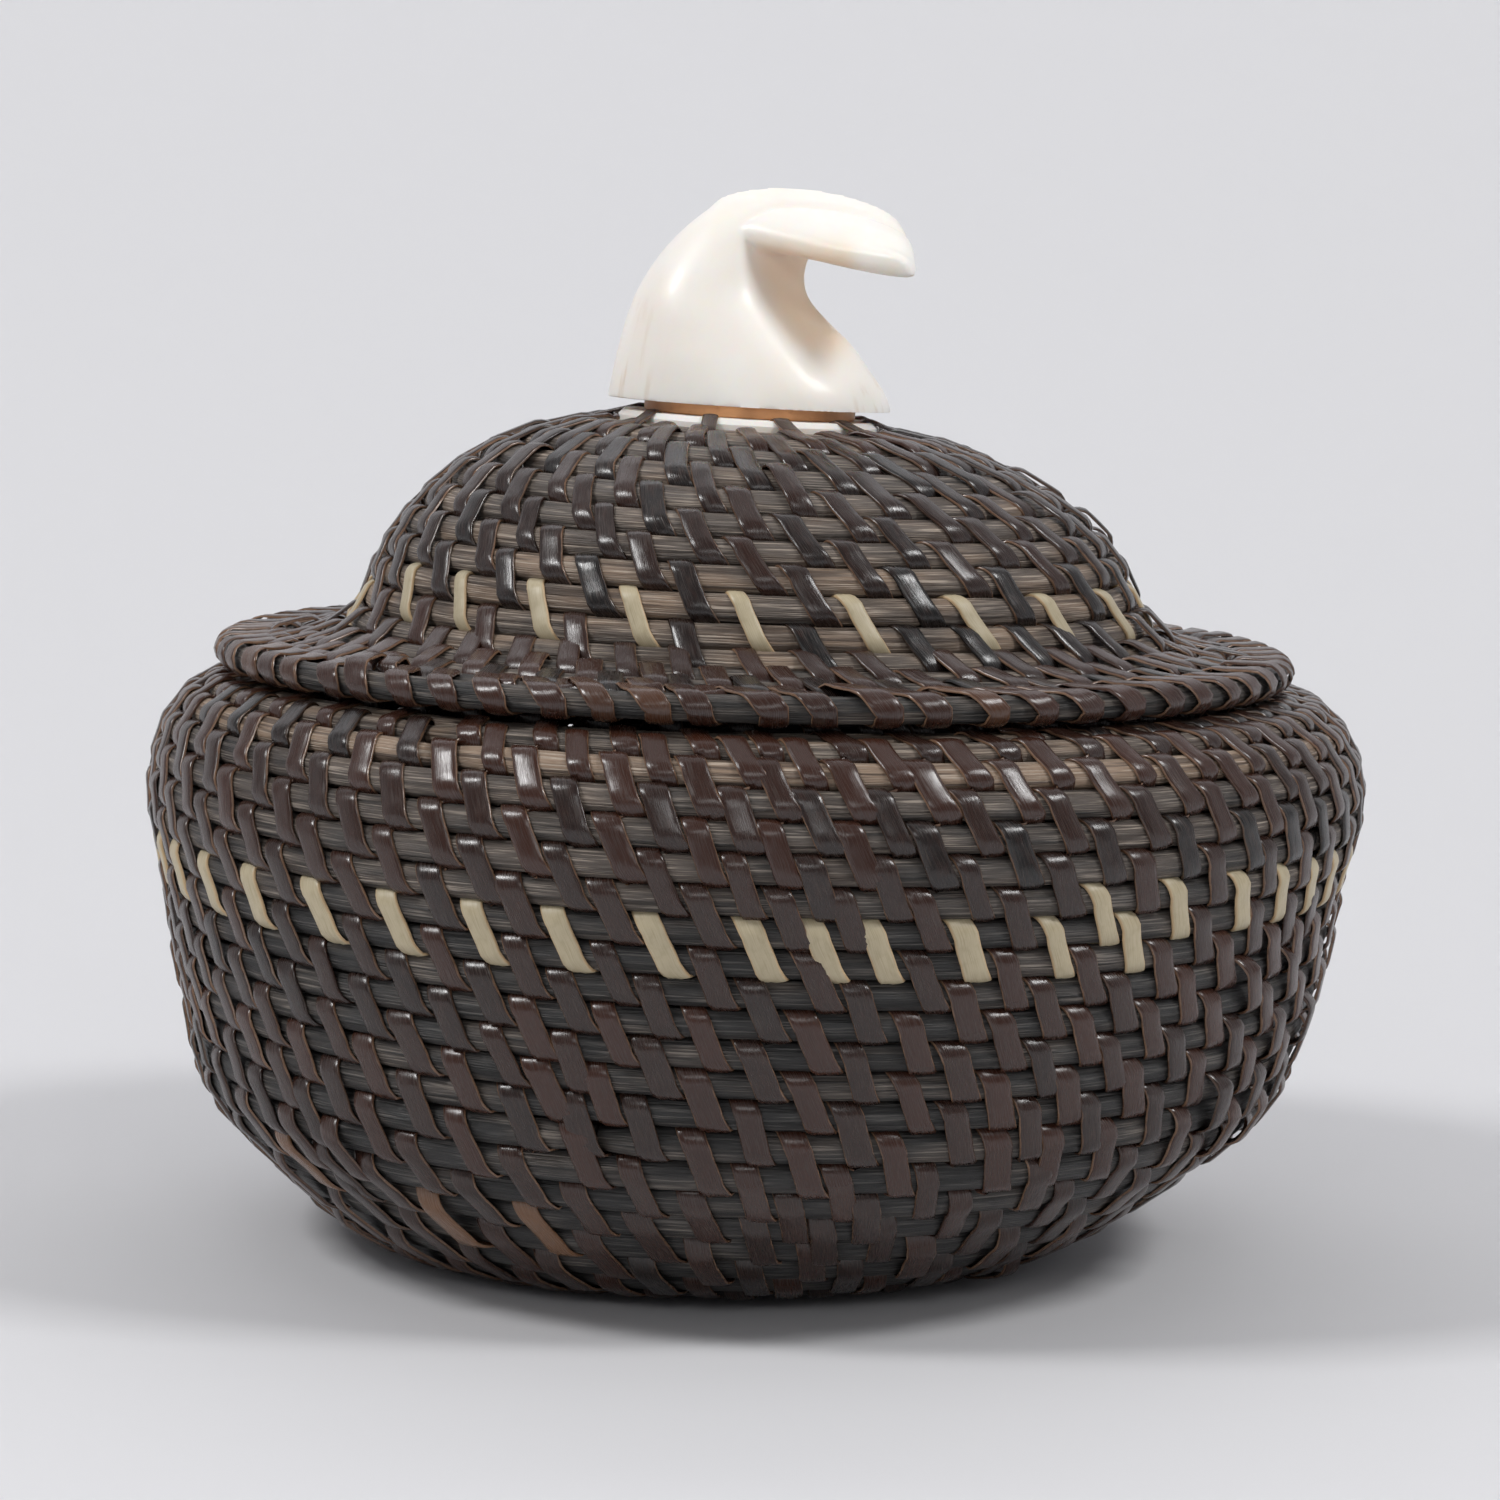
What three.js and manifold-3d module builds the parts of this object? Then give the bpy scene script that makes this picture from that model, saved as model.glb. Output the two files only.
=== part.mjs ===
// A small coiled basket of baleen with a lid and a carved ivory whale's tail on top.
// Millimetres, +Z up. The origin is under the middle of the basket, on what it stands on.
//
// The body and the lid are each one long spiral of foundation rods, spliced end to end.
// Each rod is solid here at the thickness that it has with the strips wrapped round it.

import * as THREE from "three";
import { mergeVertices } from "three/addons/utils/BufferGeometryUtils.js";
import Module from "manifold-3d";

const wasm = await Module();
wasm.setup();

// The body
const bellyRadius = 50.5;
const rimHeight = 47.7;
const standRadius = 25;
const shoulderReach = 9.1;
const shelfMargin = 0.6;
const baseShift = 2;

// The coil: the wall's thickness is across a rod, the pitches and gaps are along the wall
const wallThickness = 2.4;
const wallPitch = 2.4;
const basePitch = 3.6;
const crownPitch = 3.4;
const turnGap = 0.52;
const spliceGap = 0.3;
const tipWidth = 1.1;

// The lid
const seatGap = 0.3;
const flangeOverlap = 3.4;
const domeInset = 8.8;
const lidRise = 21.45;
const crownShift = 0.9;
const edgeRodWidth = 2.6;
const edgeRodHeight = 2.7;
const lipDepth = 5;
const lipClearance = 0.8;

// The ivory starter discs, with holes for the first strips
const baseDiscRadius = 13;
const baseDiscThickness = 2;
const lidDiscRadius = 10.9;
const lidDiscThickness = 1.85;
const discBevel = 0.45;
const stitchHoleRadius = 0.7;
const stitchHoleInset = 1.6;

// The finial and what holds it
const spacerRadius = 8.8;
const spacerThickness = 0.5;
const spacerBevel = 0.1;
const pegRadius = 1.6;
const pegClearance = 0.3;
const pegSocketDepth = 6;
const pegHeadRadius = 3;
const pegHeadThickness = 1;
const tailHalfLength = 11.95;
const tailHalfDepth = 9.4;
const tailHeight = 18;
const flukeReach = 13.1;
const flukeHalfSpan = 10.2;
const flukeThickness = 4.6;
const flukeTrailShare = 0.72;
const flukeDroop = 0.8;

// Counts and angles
const stepsPerTurn = 20;
const baseHoles = 14;
const lidHoles = 12;
const discFacets = 48;
const holeFacets = 8;
const pegFacets = 16;
const tailFacets = 28;
const flukeFacets = 12;
const crownTilt = THREE.MathUtils.degToRad(2);
const bodyStartAngle = THREE.MathUtils.degToRad(25);
const lidStartAngle = THREE.MathUtils.degToRad(6);

// One overrun serves every cut
const cutOverrun = 1;

// What follows from the sizes above: the lid's flange lies on the shelf round the mouth
const mouthRadius = bellyRadius - shoulderReach;
const shelfWidth = flangeOverlap + shelfMargin;
const flangeRadius = mouthRadius + flangeOverlap;
const domeRadius = mouthRadius - domeInset;
const seatHeight = rimHeight + seatGap;
const crownHeight = seatHeight + lidRise;

// The body's outline over the strips. The first share runs from the standing radius to the belly,
// the second from the floor to the rim.
const bodyOutlineShares = [
  [0.235, 0.054], [0.431, 0.117], [0.608, 0.186], [0.737, 0.247], [0.82, 0.314], [0.856, 0.394],
  [0.894, 0.465], [0.922, 0.537], [0.939, 0.61], [0.965, 0.681], [0.993, 0.753], [1, 0.806],
  [0.986, 0.863], [0.958, 0.912], [0.905, 0.957],
];

// The dome's outline over the strips. The first share runs from the disc to the dome's side,
// the second from the seat to the crown.
const domeOutlineShares = [
  [0.2, 0.96], [0.42, 0.885], [0.62, 0.785], [0.79, 0.652], [0.906, 0.522], [0.966, 0.405], [1, 0.305],
];

// The flange's outline over the strips. The first share runs from the dome's side to the edge rod,
// the second from the flange's edge up to the dome's foot.
const flareOutlineShares = [[0.107, 0.58], [0.31, 0.29], [0.576, 0.145], [1, 0]];

// How far along each side of an outline its corners are cut, twice over
const cornerShare = 0.25;

// A rod's section: the first share is across the wall, outward, the second along the wall
const rodSectionShares = [[1, 0.62], [-0.2, 1], [-1, 0], [-0.2, -1], [1, -0.62]];

// Each rod's end, as a share of its coil's turns
const bodyRodShares = [
  ["base_rod", 0.13], ["heel_rod", 0.27], ["lower_wall_rod", 0.42], ["middle_wall_rod", 0.58],
  ["band_rod", 0.76], ["upper_wall_rod", 0.886], ["tan_shoulder_rod", 0.925], ["rim_rod", 1],
];
const lidRodShares = [
  ["lid_crown_rod", 0.27], ["lid_dome_rod", 0.56], ["lid_band_rod", 0.72], ["lid_flange_rod", 1],
];

// Where along a coil its pitch starts and stops changing, as shares of its length
const bodyBlendShares = [0.35, 0.6];
const lidBlendShares = [0.25, 0.55];

// The corners of a turn lie this much wider than the round turn, so that the facets straddle it
const facetShare = (1 - Math.cos(Math.PI / stepsPerTurn)) / 2;

// The whale's tail from its foot up: height, left edge, right edge, depth, and how far the
// section is fuller on the left
const tailSectionShares = [
  [0, -1, 1, 1, 0], [0.1, -0.975, 0.933, 0.955, 0.02], [0.2, -0.949, 0.812, 0.885, 0.06],
  [0.3, -0.916, 0.682, 0.8, 0.12], [0.4, -0.878, 0.51, 0.715, 0.2], [0.5, -0.824, 0.37, 0.63, 0.26],
  [0.6, -0.745, 0.33, 0.55, 0.28], [0.7, -0.644, 0.36, 0.465, 0.24], [0.8, -0.51, 0.4, 0.39, 0.15],
  [0.88, -0.372, 0.42, 0.3, 0.05], [0.945, -0.23, 0.33, 0.18, 0],
];

// One fluke from the middle out: span, leading edge, trailing edge, height, thickness
const flukeSectionShares = [
  [0, -0.32, 0.9, 0.885, 1], [0.25, -0.25, 0.95, 0.812, 0.91], [0.5, 0.08, 0.975, 0.762, 0.7],
  [0.7, 0.42, 0.985, 0.72, 0.53], [0.88, 0.73, 0.985, 0.702, 0.415], [0.96, 0.85, 0.975, 0.7, 0.3],
  [1, 0.905, 0.96, 0.698, 0.13],
];

const finishes = {
  blackBaleen: { color: 0x2a2623, roughness: 0.45, metalness: 0 },
  greyBaleen: { color: 0x6f665d, roughness: 0.5, metalness: 0 },
  tanBaleen: { color: 0xa88a66, roughness: 0.5, metalness: 0 },
  ivory: { color: 0xf1e7dc, roughness: 0.28, metalness: 0 },
  tanLeather: { color: 0xb9743c, roughness: 0.5, metalness: 0 },
};

// Rods that aren't black
const rodFinishes = {
  upper_wall_rod: finishes.greyBaleen,
  tan_shoulder_rod: finishes.tanBaleen,
  rim_rod: finishes.greyBaleen,
  lid_crown_rod: finishes.greyBaleen,
  lid_dome_rod: finishes.greyBaleen,
  lid_band_rod: finishes.greyBaleen,
};

function namedMesh(name, geometry, finish) {
  const mesh = new THREE.Mesh(geometry, new THREE.MeshStandardMaterial(finish));
  mesh.name = name;
  return mesh;
}

// Runs from 0 to 1, smoothly, as the value goes from low to high
function smooth(low, high, value) {
  return THREE.MathUtils.smoothstep(value, low, high);
}

// An outline with its corners cut off twice, which rounds them
function roundedOutline(points) {
  const cutCorners = (line) => {
    const cuts = line.slice(1).flatMap((point, index) => {
      return [cornerShare, 1 - cornerShare].map((share) => line[index].clone().lerp(point, share));
    });
    return [line[0], ...cuts, line.at(-1)];
  };
  return cutCorners(cutCorners(points));
}

// An outline moved across the wall by a distance, to the left of the way that it runs
function shiftedOutline(points, distance) {
  return points.map((point, index) => {
    const before = points[Math.max(index - 1, 0)];
    const after = points[Math.min(index + 1, points.length - 1)];
    const along = after.clone().sub(before).normalize();
    return new THREE.Vector2(point.x - along.y * distance, point.y + along.x * distance);
  });
}

// A polyline that is read by the distance along it
function measuredLine(points) {
  const path = new THREE.CurvePath();
  points.slice(1).forEach((point, index) => path.add(new THREE.LineCurve(points[index], point)));
  const length = path.getLength();
  const at = (distance) => path.getPointAt(THREE.MathUtils.clamp(distance / length, 0, 1));
  const along = (distance, span) => {
    const before = at(Math.max(distance - span, 0));
    return at(Math.min(distance + span, length)).sub(before).normalize();
  };
  return { length, at, along };
}

// How far along the wall the growing coil's edge has come after each step
function coilEdges(length, { startPitch, endPitch, blendShares }) {
  const edges = [0];
  while (edges.at(-1) < length) {
    const blend = smooth(length * blendShares[0], length * blendShares[1], edges.at(-1));
    edges.push(edges.at(-1) + THREE.MathUtils.lerp(startPitch, endPitch, blend) / stepsPerTurn);
  }
  edges[edges.length - 1] = length;
  return edges;
}

// The corners of one section of a rod. Outward is to the right of the way that the outline runs
// where the side is 1, and to the left where it is -1.
function rodSection({ centre, along, side, halfWidth, halfThickness, angle }) {
  return rodSectionShares.map(([acrossShare, alongShare]) => {
    const across = acrossShare * halfThickness * side;
    const beside = alongShare * halfWidth;
    const radius = (centre.x + along.y * across + along.x * beside) * (1 + facetShare);
    const height = centre.y - along.x * across + along.y * beside;
    return new THREE.Vector3(radius * Math.cos(angle), radius * Math.sin(angle), height);
  });
}

// The sections of a coil, one a step. Its first turn widens from a tip and its last narrows to one,
// so the coil starts round and ends level.
function coilSections(coil) {
  const outline = roundedOutline(coil.outline);
  const middle = measuredLine(shiftedOutline(outline, (coil.side * wallThickness) / 2));
  const edges = coilEdges(middle.length, coil);
  const sections = [];
  for (let step = 0; step < edges.length + stepsPerTurn; step += 1) {
    const upper = edges[Math.min(step, edges.length - 1)];
    const lower = edges[Math.max(step - stepsPerTurn, 0)];
    const halfWidth = (upper - lower - turnGap) / 2;
    if (halfWidth * 2 < tipWidth) continue;
    const centre = middle.at((upper + lower) / 2);
    const along = middle.along((upper + lower) / 2, halfWidth);
    const angle = coil.startAngle + (coil.turning * 2 * Math.PI * step) / stepsPerTurn;
    const halfThickness = wallThickness / 2;
    const section = rodSection({ centre, along, side: coil.side, halfWidth, halfThickness, angle });
    sections.push(section.map(coil.lean));
  }
  return sections;
}

// The least gap between a coil's neighbouring turns, on points along the edges that face each other
function leastTurnGap(sections) {
  const facing = [[1, 3], [0, 4], [2, 2], [4, 0], [3, 1]];
  const samples = [0, 0.25, 0.5, 0.75];
  let least = Infinity;
  for (let step = 0; step + stepsPerTurn + 1 < sections.length; step += 1) {
    for (const share of samples) {
      const inner = blendedSection(sections[step], sections[step + 1], share);
      const outer = blendedSection(sections[step + stepsPerTurn], sections[step + stepsPerTurn + 1], share);
      for (const [one, other] of facing) {
        least = Math.min(least, inner[one].distanceTo(outer[other]));
      }
    }
  }
  return least;
}

function blendedSection(first, second, share) {
  return first.map((corner, index) => corner.clone().lerp(second[index], share));
}

// The sections of a rod between two steps of its coil. A spliced end is cut square, in the middle
// of a straight step, half a splice's gap short of its neighbour.
function rodBetween(sections, from, to, splicedStart, splicedEnd) {
  const gapShare = (step) => spliceGap / 2 / sections[step][0].distanceTo(sections[step + 1][0]);
  const cut = (step, way) => blendedSection(sections[step], sections[step + 1], 0.5 + way * gapShare(step));
  return [
    ...(splicedStart ? [cut(from, 1)] : [sections[from]]),
    ...sections.slice(from + 1, to + 1),
    ...(splicedEnd ? [cut(to, -1)] : []),
  ];
}

// The skin through rings of corners, closed at both ends
function skinGeometry(rings) {
  const size = rings[0].length;
  const positions = rings.flat().flatMap((corner) => corner.toArray());
  const faces = [];
  for (let ring = 0; ring + 1 < rings.length; ring += 1) {
    for (let side = 0; side < size; side += 1) {
      const here = ring * size + side;
      const beside = ring * size + ((side + 1) % size);
      faces.push(here, beside, here + size, beside, beside + size, here + size);
    }
  }
  const top = (rings.length - 1) * size;
  for (let side = 1; side + 1 < size; side += 1) {
    faces.push(0, side + 1, side, top, top + side, top + side + 1);
  }
  return facingOut(positions, faces);
}

// A geometry whose faces point out, whichever way round they were listed
function facingOut(positions, faces) {
  const geometry = new THREE.BufferGeometry();
  geometry.setAttribute("position", new THREE.Float32BufferAttribute(positions, 3));
  geometry.setIndex(signedVolume(positions, faces) < 0 ? faces.slice().reverse() : faces);
  geometry.computeVertexNormals();
  return geometry;
}

function signedVolume(positions, faces) {
  const corner = (index) => new THREE.Vector3().fromArray(positions, faces[index] * 3);
  let volume = 0;
  for (let index = 0; index < faces.length; index += 3) {
    volume += corner(index).dot(corner(index + 1).cross(corner(index + 2)));
  }
  return volume;
}

// The rods of one coil, spliced where the shares say
function spliceRods(coil, rodShares) {
  const sections = coilSections(coil);
  console.log(`${coil.name}: least gap between its turns ${leastTurnGap(sections).toFixed(2)} mm`);
  const last = sections.length - 1;
  let from = 0;
  return rodShares.map(([name, endShare]) => {
    const to = endShare < 1 ? Math.round(endShare * last) : last;
    const rings = rodBetween(sections, from, to, from > 0, to < last);
    from = to;
    return namedMesh(name, skinGeometry(rings), rodFinishes[name] ?? finishes.blackBaleen);
  });
}

// The body's lowest rows lie a little to one side, as on a basket coiled by hand
function leanBody(point) {
  const share = 1 - smooth(0, rimHeight / 2, point.z);
  return new THREE.Vector3(point.x - baseShift * share, point.y, Math.max(point.z, 0));
}

// The lid's rows come a little to one side as they rise, and the upper ones dip on the other
function leanLid(point) {
  const shift = crownShift * smooth(seatHeight, crownHeight, point.z);
  const dip = point.x * Math.tan(crownTilt) * smooth(crownHeight - lidRise / 2, crownHeight, point.z);
  return new THREE.Vector3(point.x - shift, point.y, point.z - dip);
}

function bodyCoil() {
  const wall = bodyOutlineShares.map(([outShare, upShare]) => {
    return new THREE.Vector2(standRadius + outShare * (bellyRadius - standRadius), upShare * rimHeight);
  });
  const outline = [
    new THREE.Vector2(baseDiscRadius + turnGap / 2, 0),
    new THREE.Vector2(standRadius, 0),
    ...wall,
    new THREE.Vector2(mouthRadius + shelfWidth, rimHeight),
    new THREE.Vector2(mouthRadius, rimHeight),
  ];
  return {
    name: "body coil", outline, side: 1, turning: -1, startAngle: bodyStartAngle, lean: leanBody,
    startPitch: basePitch, endPitch: wallPitch, blendShares: bodyBlendShares,
  };
}

// The lid's outline over the strips, from the disc out to the edge rod
function lidOutline() {
  const innerRadius = lidDiscRadius + turnGap / 2;
  const outerRadius = flangeRadius - edgeRodWidth - turnGap / 2;
  const flangeTop = seatHeight + wallThickness;
  const dome = domeOutlineShares.map(([outShare, upShare]) => {
    const radius = THREE.MathUtils.lerp(innerRadius, domeRadius, outShare);
    return new THREE.Vector2(radius, seatHeight + upShare * lidRise);
  });
  const flare = flareOutlineShares.map(([outShare, upShare]) => {
    const radius = THREE.MathUtils.lerp(domeRadius, outerRadius, outShare);
    return new THREE.Vector2(radius, THREE.MathUtils.lerp(flangeTop, dome.at(-1).y, upShare));
  });
  return [new THREE.Vector2(innerRadius, crownHeight - discBevel), ...dome, ...flare];
}

function lidCoil() {
  return {
    name: "lid coil", outline: lidOutline(), side: -1, turning: 1, startAngle: lidStartAngle, lean: leanLid,
    startPitch: crownPitch, endPitch: wallPitch, blendShares: lidBlendShares,
  };
}

// The coil under the lid that drops into the mouth and keeps the lid in place. It hangs from the
// flange, whose underside rises a little towards the dome.
function lipCoil() {
  const radius = mouthRadius - lipClearance;
  const [inner, outer] = lidOutline().slice(-2);
  const flangeShare = (radius - wallThickness / 2 - inner.x) / (outer.x - inner.x);
  const underside = THREE.MathUtils.lerp(inner.y, outer.y, flangeShare) - wallThickness;
  const top = underside - spliceGap + turnGap / 2;
  const outline = [new THREE.Vector2(radius, top), new THREE.Vector2(radius, top - lipDepth)];
  return {
    name: "lip coil", outline, side: -1, turning: 1, startAngle: lidStartAngle, lean: (point) => point,
    startPitch: wallPitch, endPitch: wallPitch, blendShares: lidBlendShares,
  };
}

// The heavier rod round the edge of the flange: one turn, its ends meeting square
function edgeRod() {
  const centre = new THREE.Vector2(flangeRadius - edgeRodWidth / 2, seatHeight + edgeRodHeight / 2);
  const sections = [];
  for (let step = 0; step < stepsPerTurn + 2; step += 1) {
    const angle = lidStartAngle + (2 * Math.PI * step) / stepsPerTurn;
    const along = new THREE.Vector2(0, -1);
    const [halfWidth, halfThickness] = [edgeRodHeight / 2, edgeRodWidth / 2];
    sections.push(rodSection({ centre, along, side: -1, halfWidth, halfThickness, angle }));
  }
  const rings = rodBetween(sections, 0, stepsPerTurn, true, true);
  return namedMesh("lid_edge_rod", skinGeometry(rings), finishes.greyBaleen);
}

// A disc that lies flat on the zero level, bevelled at its edge, with a bore if it has one
function discGeometry(radius, thickness, bevel, bore) {
  const profile = [
    [bore, 0], [radius - bevel, 0], [radius, bevel], [radius, thickness - bevel],
    [radius - bevel, thickness], [bore, thickness], [bore, 0],
  ];
  const points = profile.slice(0, bore > 0 ? 7 : 6).map(([x, y]) => new THREE.Vector2(x, y));
  return new THREE.LatheGeometry(points, discFacets).rotateX(Math.PI / 2);
}

function toSolid(geometry) {
  const bare = geometry.clone();
  bare.deleteAttribute("normal");
  bare.deleteAttribute("uv");
  const merged = mergeVertices(bare);
  const positions = merged.attributes.position.array;
  const faces = Array.from(merged.index.array);
  const turned = signedVolume(positions, faces) < 0 ? faces.reverse() : faces;
  return new wasm.Manifold(new wasm.Mesh({
    numProp: 3, vertProperties: new Float32Array(positions), triVerts: new Uint32Array(turned),
  }));
}

function toGeometry(solid) {
  const mesh = solid.getMesh();
  return facingOut(Array.from(mesh.vertProperties), Array.from(mesh.triVerts));
}

// A starter disc with a ring of holes for the first strips
function starterDisc(name, radius, thickness, bore, holes) {
  let disc = toSolid(discGeometry(radius, thickness, discBevel, bore));
  const drillLength = thickness + 2 * cutOverrun;
  for (let hole = 0; hole < holes; hole += 1) {
    const angle = (2 * Math.PI * hole) / holes;
    const reach = radius - stitchHoleInset;
    const drill = new THREE.CylinderGeometry(stitchHoleRadius, stitchHoleRadius, drillLength, holeFacets);
    drill.rotateX(Math.PI / 2);
    drill.translate(reach * Math.cos(angle), reach * Math.sin(angle), thickness / 2);
    disc = disc.subtract(toSolid(drill));
  }
  return namedMesh(name, toGeometry(disc), finishes.ivory);
}

// One ring of the tail's stock, fuller on the left where its fullness says so
function tailRing([heightShare, leftShare, rightShare, depthShare, fullness]) {
  const middle = ((leftShare + rightShare) / 2) * tailHalfLength;
  const half = ((rightShare - leftShare) / 2) * tailHalfLength;
  return Array.from({ length: tailFacets }, (_, facet) => {
    const angle = (2 * Math.PI * facet) / tailFacets;
    const outShare = Math.cos(angle);
    const depth = tailHalfDepth * depthShare * Math.sin(angle) * (1 - fullness * outShare);
    return new THREE.Vector3(middle + half * outShare, depth, heightShare * tailHeight);
  });
}

// One ring across a fluke. The side is -1 for the near fluke and 1 for the far one.
function flukeRing([spanShare, leadShare, trailShare, heightShare, thicknessShare], side) {
  return Array.from({ length: flukeFacets }, (_, facet) => {
    const angle = (2 * Math.PI * facet) / flukeFacets;
    const backShare = (1 - Math.cos(angle)) / 2;
    const length = THREE.MathUtils.lerp(leadShare, trailShare, backShare) * flukeReach;
    const thinness = Math.max(flukeTrailShare - thicknessShare, 0);
    const middle = heightShare * tailHeight - (flukeThickness / 2) * thinness * backShare;
    const droop = flukeDroop * backShare ** 2 * (1 - spanShare);
    const rise = ((Math.sin(angle) * flukeThickness) / 2) * thicknessShare - droop;
    return new THREE.Vector3(length, side * spanShare * flukeHalfSpan, middle + rise);
  });
}

// The whale's tail: the stock and both flukes in one piece, with the peg's socket in its foot
function whaleTail() {
  const stock = toSolid(skinGeometry(tailSectionShares.map(tailRing)));
  const near = flukeSectionShares.slice(1).reverse().map((shares) => flukeRing(shares, -1));
  const far = flukeSectionShares.map((shares) => flukeRing(shares, 1));
  const flukes = toSolid(skinGeometry([...near, ...far]));
  const socketLength = pegSocketDepth + cutOverrun;
  const socketRadius = pegRadius + pegClearance;
  const socket = new THREE.CylinderGeometry(socketRadius, socketRadius, socketLength, pegFacets);
  socket.rotateX(Math.PI / 2);
  socket.translate(0, 0, pegSocketDepth - socketLength / 2);
  const tail = stock.add(flukes).subtract(toSolid(socket));
  return namedMesh("whale_tail_finial", toGeometry(tail), finishes.ivory);
}

// The headed peg that runs up through the disc and the spacer into the tail, from its head down
function pegGeometry(length) {
  const profile = [
    [0, 0], [pegHeadRadius, 0], [pegHeadRadius, pegHeadThickness], [pegRadius, pegHeadThickness],
    [pegRadius, length], [0, length],
  ];
  const points = profile.map(([x, y]) => new THREE.Vector2(x, y));
  return new THREE.LatheGeometry(points, pegFacets).rotateX(Math.PI / 2);
}

// The crown's pieces, stacked on the peg and tipped with the lid's upper rows
function crownGroup() {
  const crown = new THREE.Group();
  const bore = pegRadius + pegClearance;
  const disc = starterDisc("lid_starter_disc", lidDiscRadius, lidDiscThickness, bore, lidHoles);
  disc.position.z = -lidDiscThickness;
  const spacer = namedMesh(
    "finial_spacer", discGeometry(spacerRadius, spacerThickness, spacerBevel, bore), finishes.tanLeather,
  );
  spacer.position.z = spliceGap;
  const tail = whaleTail();
  tail.position.z = spliceGap * 2 + spacerThickness;
  const pegFoot = -lidDiscThickness - spliceGap - pegHeadThickness;
  const pegTop = tail.position.z + pegSocketDepth - pegClearance;
  const peg = namedMesh("finial_peg", pegGeometry(pegTop - pegFoot), finishes.ivory);
  peg.position.z = pegFoot;
  crown.add(disc, spacer, tail, peg);
  crown.position.set(-crownShift, 0, crownHeight);
  crown.rotation.y = crownTilt;
  return crown;
}

function bodyGroup() {
  const body = new THREE.Group();
  const disc = starterDisc("base_starter_disc", baseDiscRadius, baseDiscThickness, 0, baseHoles);
  disc.position.x = -baseShift;
  body.add(disc, ...spliceRods(bodyCoil(), bodyRodShares));
  return body;
}

function lidGroup() {
  const lid = new THREE.Group();
  lid.add(crownGroup(), ...spliceRods(lidCoil(), lidRodShares), edgeRod());
  lid.add(...spliceRods(lipCoil(), [["lid_lip_rod", 1]]));
  return lid;
}

const basket = new THREE.Group();
basket.add(bodyGroup(), lidGroup());

// The hand-coiled turns aren't quite even, so the whole is set back over the origin
const middle = new THREE.Box3().setFromObject(basket, true).getCenter(new THREE.Vector3());
basket.position.set(-middle.x, -middle.y, 0);

export default basket;
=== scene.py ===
"""A coiled baleen basket: a full-shouldered bowl, a domed lid that lifts off and an ivory whale's tail.

Sizes are millimetres until a mesh is made, in metres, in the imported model's own frame. The coils follow
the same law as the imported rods, so each rod and strip lies where its solid does.
"""

from __future__ import annotations

import logging
import math
from dataclasses import dataclass, field
from enum import Enum

import bpy
import numpy as np
from mathutils import Matrix, Vector

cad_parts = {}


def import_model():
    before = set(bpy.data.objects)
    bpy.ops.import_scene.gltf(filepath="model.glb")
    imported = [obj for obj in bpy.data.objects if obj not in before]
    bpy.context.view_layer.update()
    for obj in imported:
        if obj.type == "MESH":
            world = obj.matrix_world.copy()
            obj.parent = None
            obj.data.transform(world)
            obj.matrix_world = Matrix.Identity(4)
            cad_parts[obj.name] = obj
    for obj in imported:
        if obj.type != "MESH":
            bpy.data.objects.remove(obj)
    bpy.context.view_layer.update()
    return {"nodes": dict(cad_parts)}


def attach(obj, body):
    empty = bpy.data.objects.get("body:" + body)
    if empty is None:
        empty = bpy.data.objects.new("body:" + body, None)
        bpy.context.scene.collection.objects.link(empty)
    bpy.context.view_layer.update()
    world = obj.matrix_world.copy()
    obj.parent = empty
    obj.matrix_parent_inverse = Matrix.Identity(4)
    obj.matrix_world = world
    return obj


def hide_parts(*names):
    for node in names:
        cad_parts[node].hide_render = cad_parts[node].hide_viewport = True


LOG = logging.getLogger("basket")
MM = 0.001

# Sizes of the bowl
BELLY_RADIUS = 50.5
RIM_HEIGHT = 47.7
STAND_RADIUS = 25.0
MOUTH_RADIUS = 41.4
SHELF_WIDTH = 4.0
BASE_SHIFT = 2.0
SHOULDER_SWELL = 1.1
HEEL_SAG = 0.6
HEEL_SIDE_SAG = 0.6
HEEL_SIDE_RANGE = (-5.0, 25.0)
HEEL_FOOT_HEIGHT = 2.0
HEEL_TOP_RANGE = (3.0, 10.0)

# Sizes of the lid
SEAT_HEIGHT = 48.0
LID_RISE = 21.45
CROWN_HEIGHT = SEAT_HEIGHT + LID_RISE
CROWN_SHIFT = 0.9
CROWN_TILT = math.radians(2.0)
DOME_RADIUS = 32.6
FLANGE_RADIUS = 44.8
EDGE_ROD_WIDTH = 2.6
EDGE_ROD_HEIGHT = 2.7
LIP_DEPTH = 5.0
LIP_CLEARANCE = 0.8
LID_START_ANGLE = 6.0

# Sizes of the starter discs
BASE_DISC_RADIUS = 13.0
BASE_DISC_THICKNESS = 2.0
LID_DISC_RADIUS = 10.9
LID_DISC_THICKNESS = 1.85
DISC_BEVEL = 0.45
HOLE_INSET = 1.6

# Sizes of the coils and their rods
WALL_THICKNESS = 2.4
TURN_GAP = 0.52
SPLICE_GAP = 0.3
STEPS_PER_TURN = 20
ROD_CLEARANCE = 0.07
ROD_START_TURN = 0.5
ROD_TURNS_SHORT = 0.55
ROD_END_TURNS = 0.0005
TINY = 1e-6

Colour = tuple[float, float, float]
Point = tuple[float, float, float]


def smooth(low: float, high: float, value: np.ndarray | float) -> np.ndarray | float:
    """Runs from 0 to 1, smoothly, as the value goes from low to high."""
    share = np.clip((np.asarray(value, float) - low) / (high - low), 0.0, 1.0)
    return share * share * (3.0 - 2.0 * share)


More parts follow.
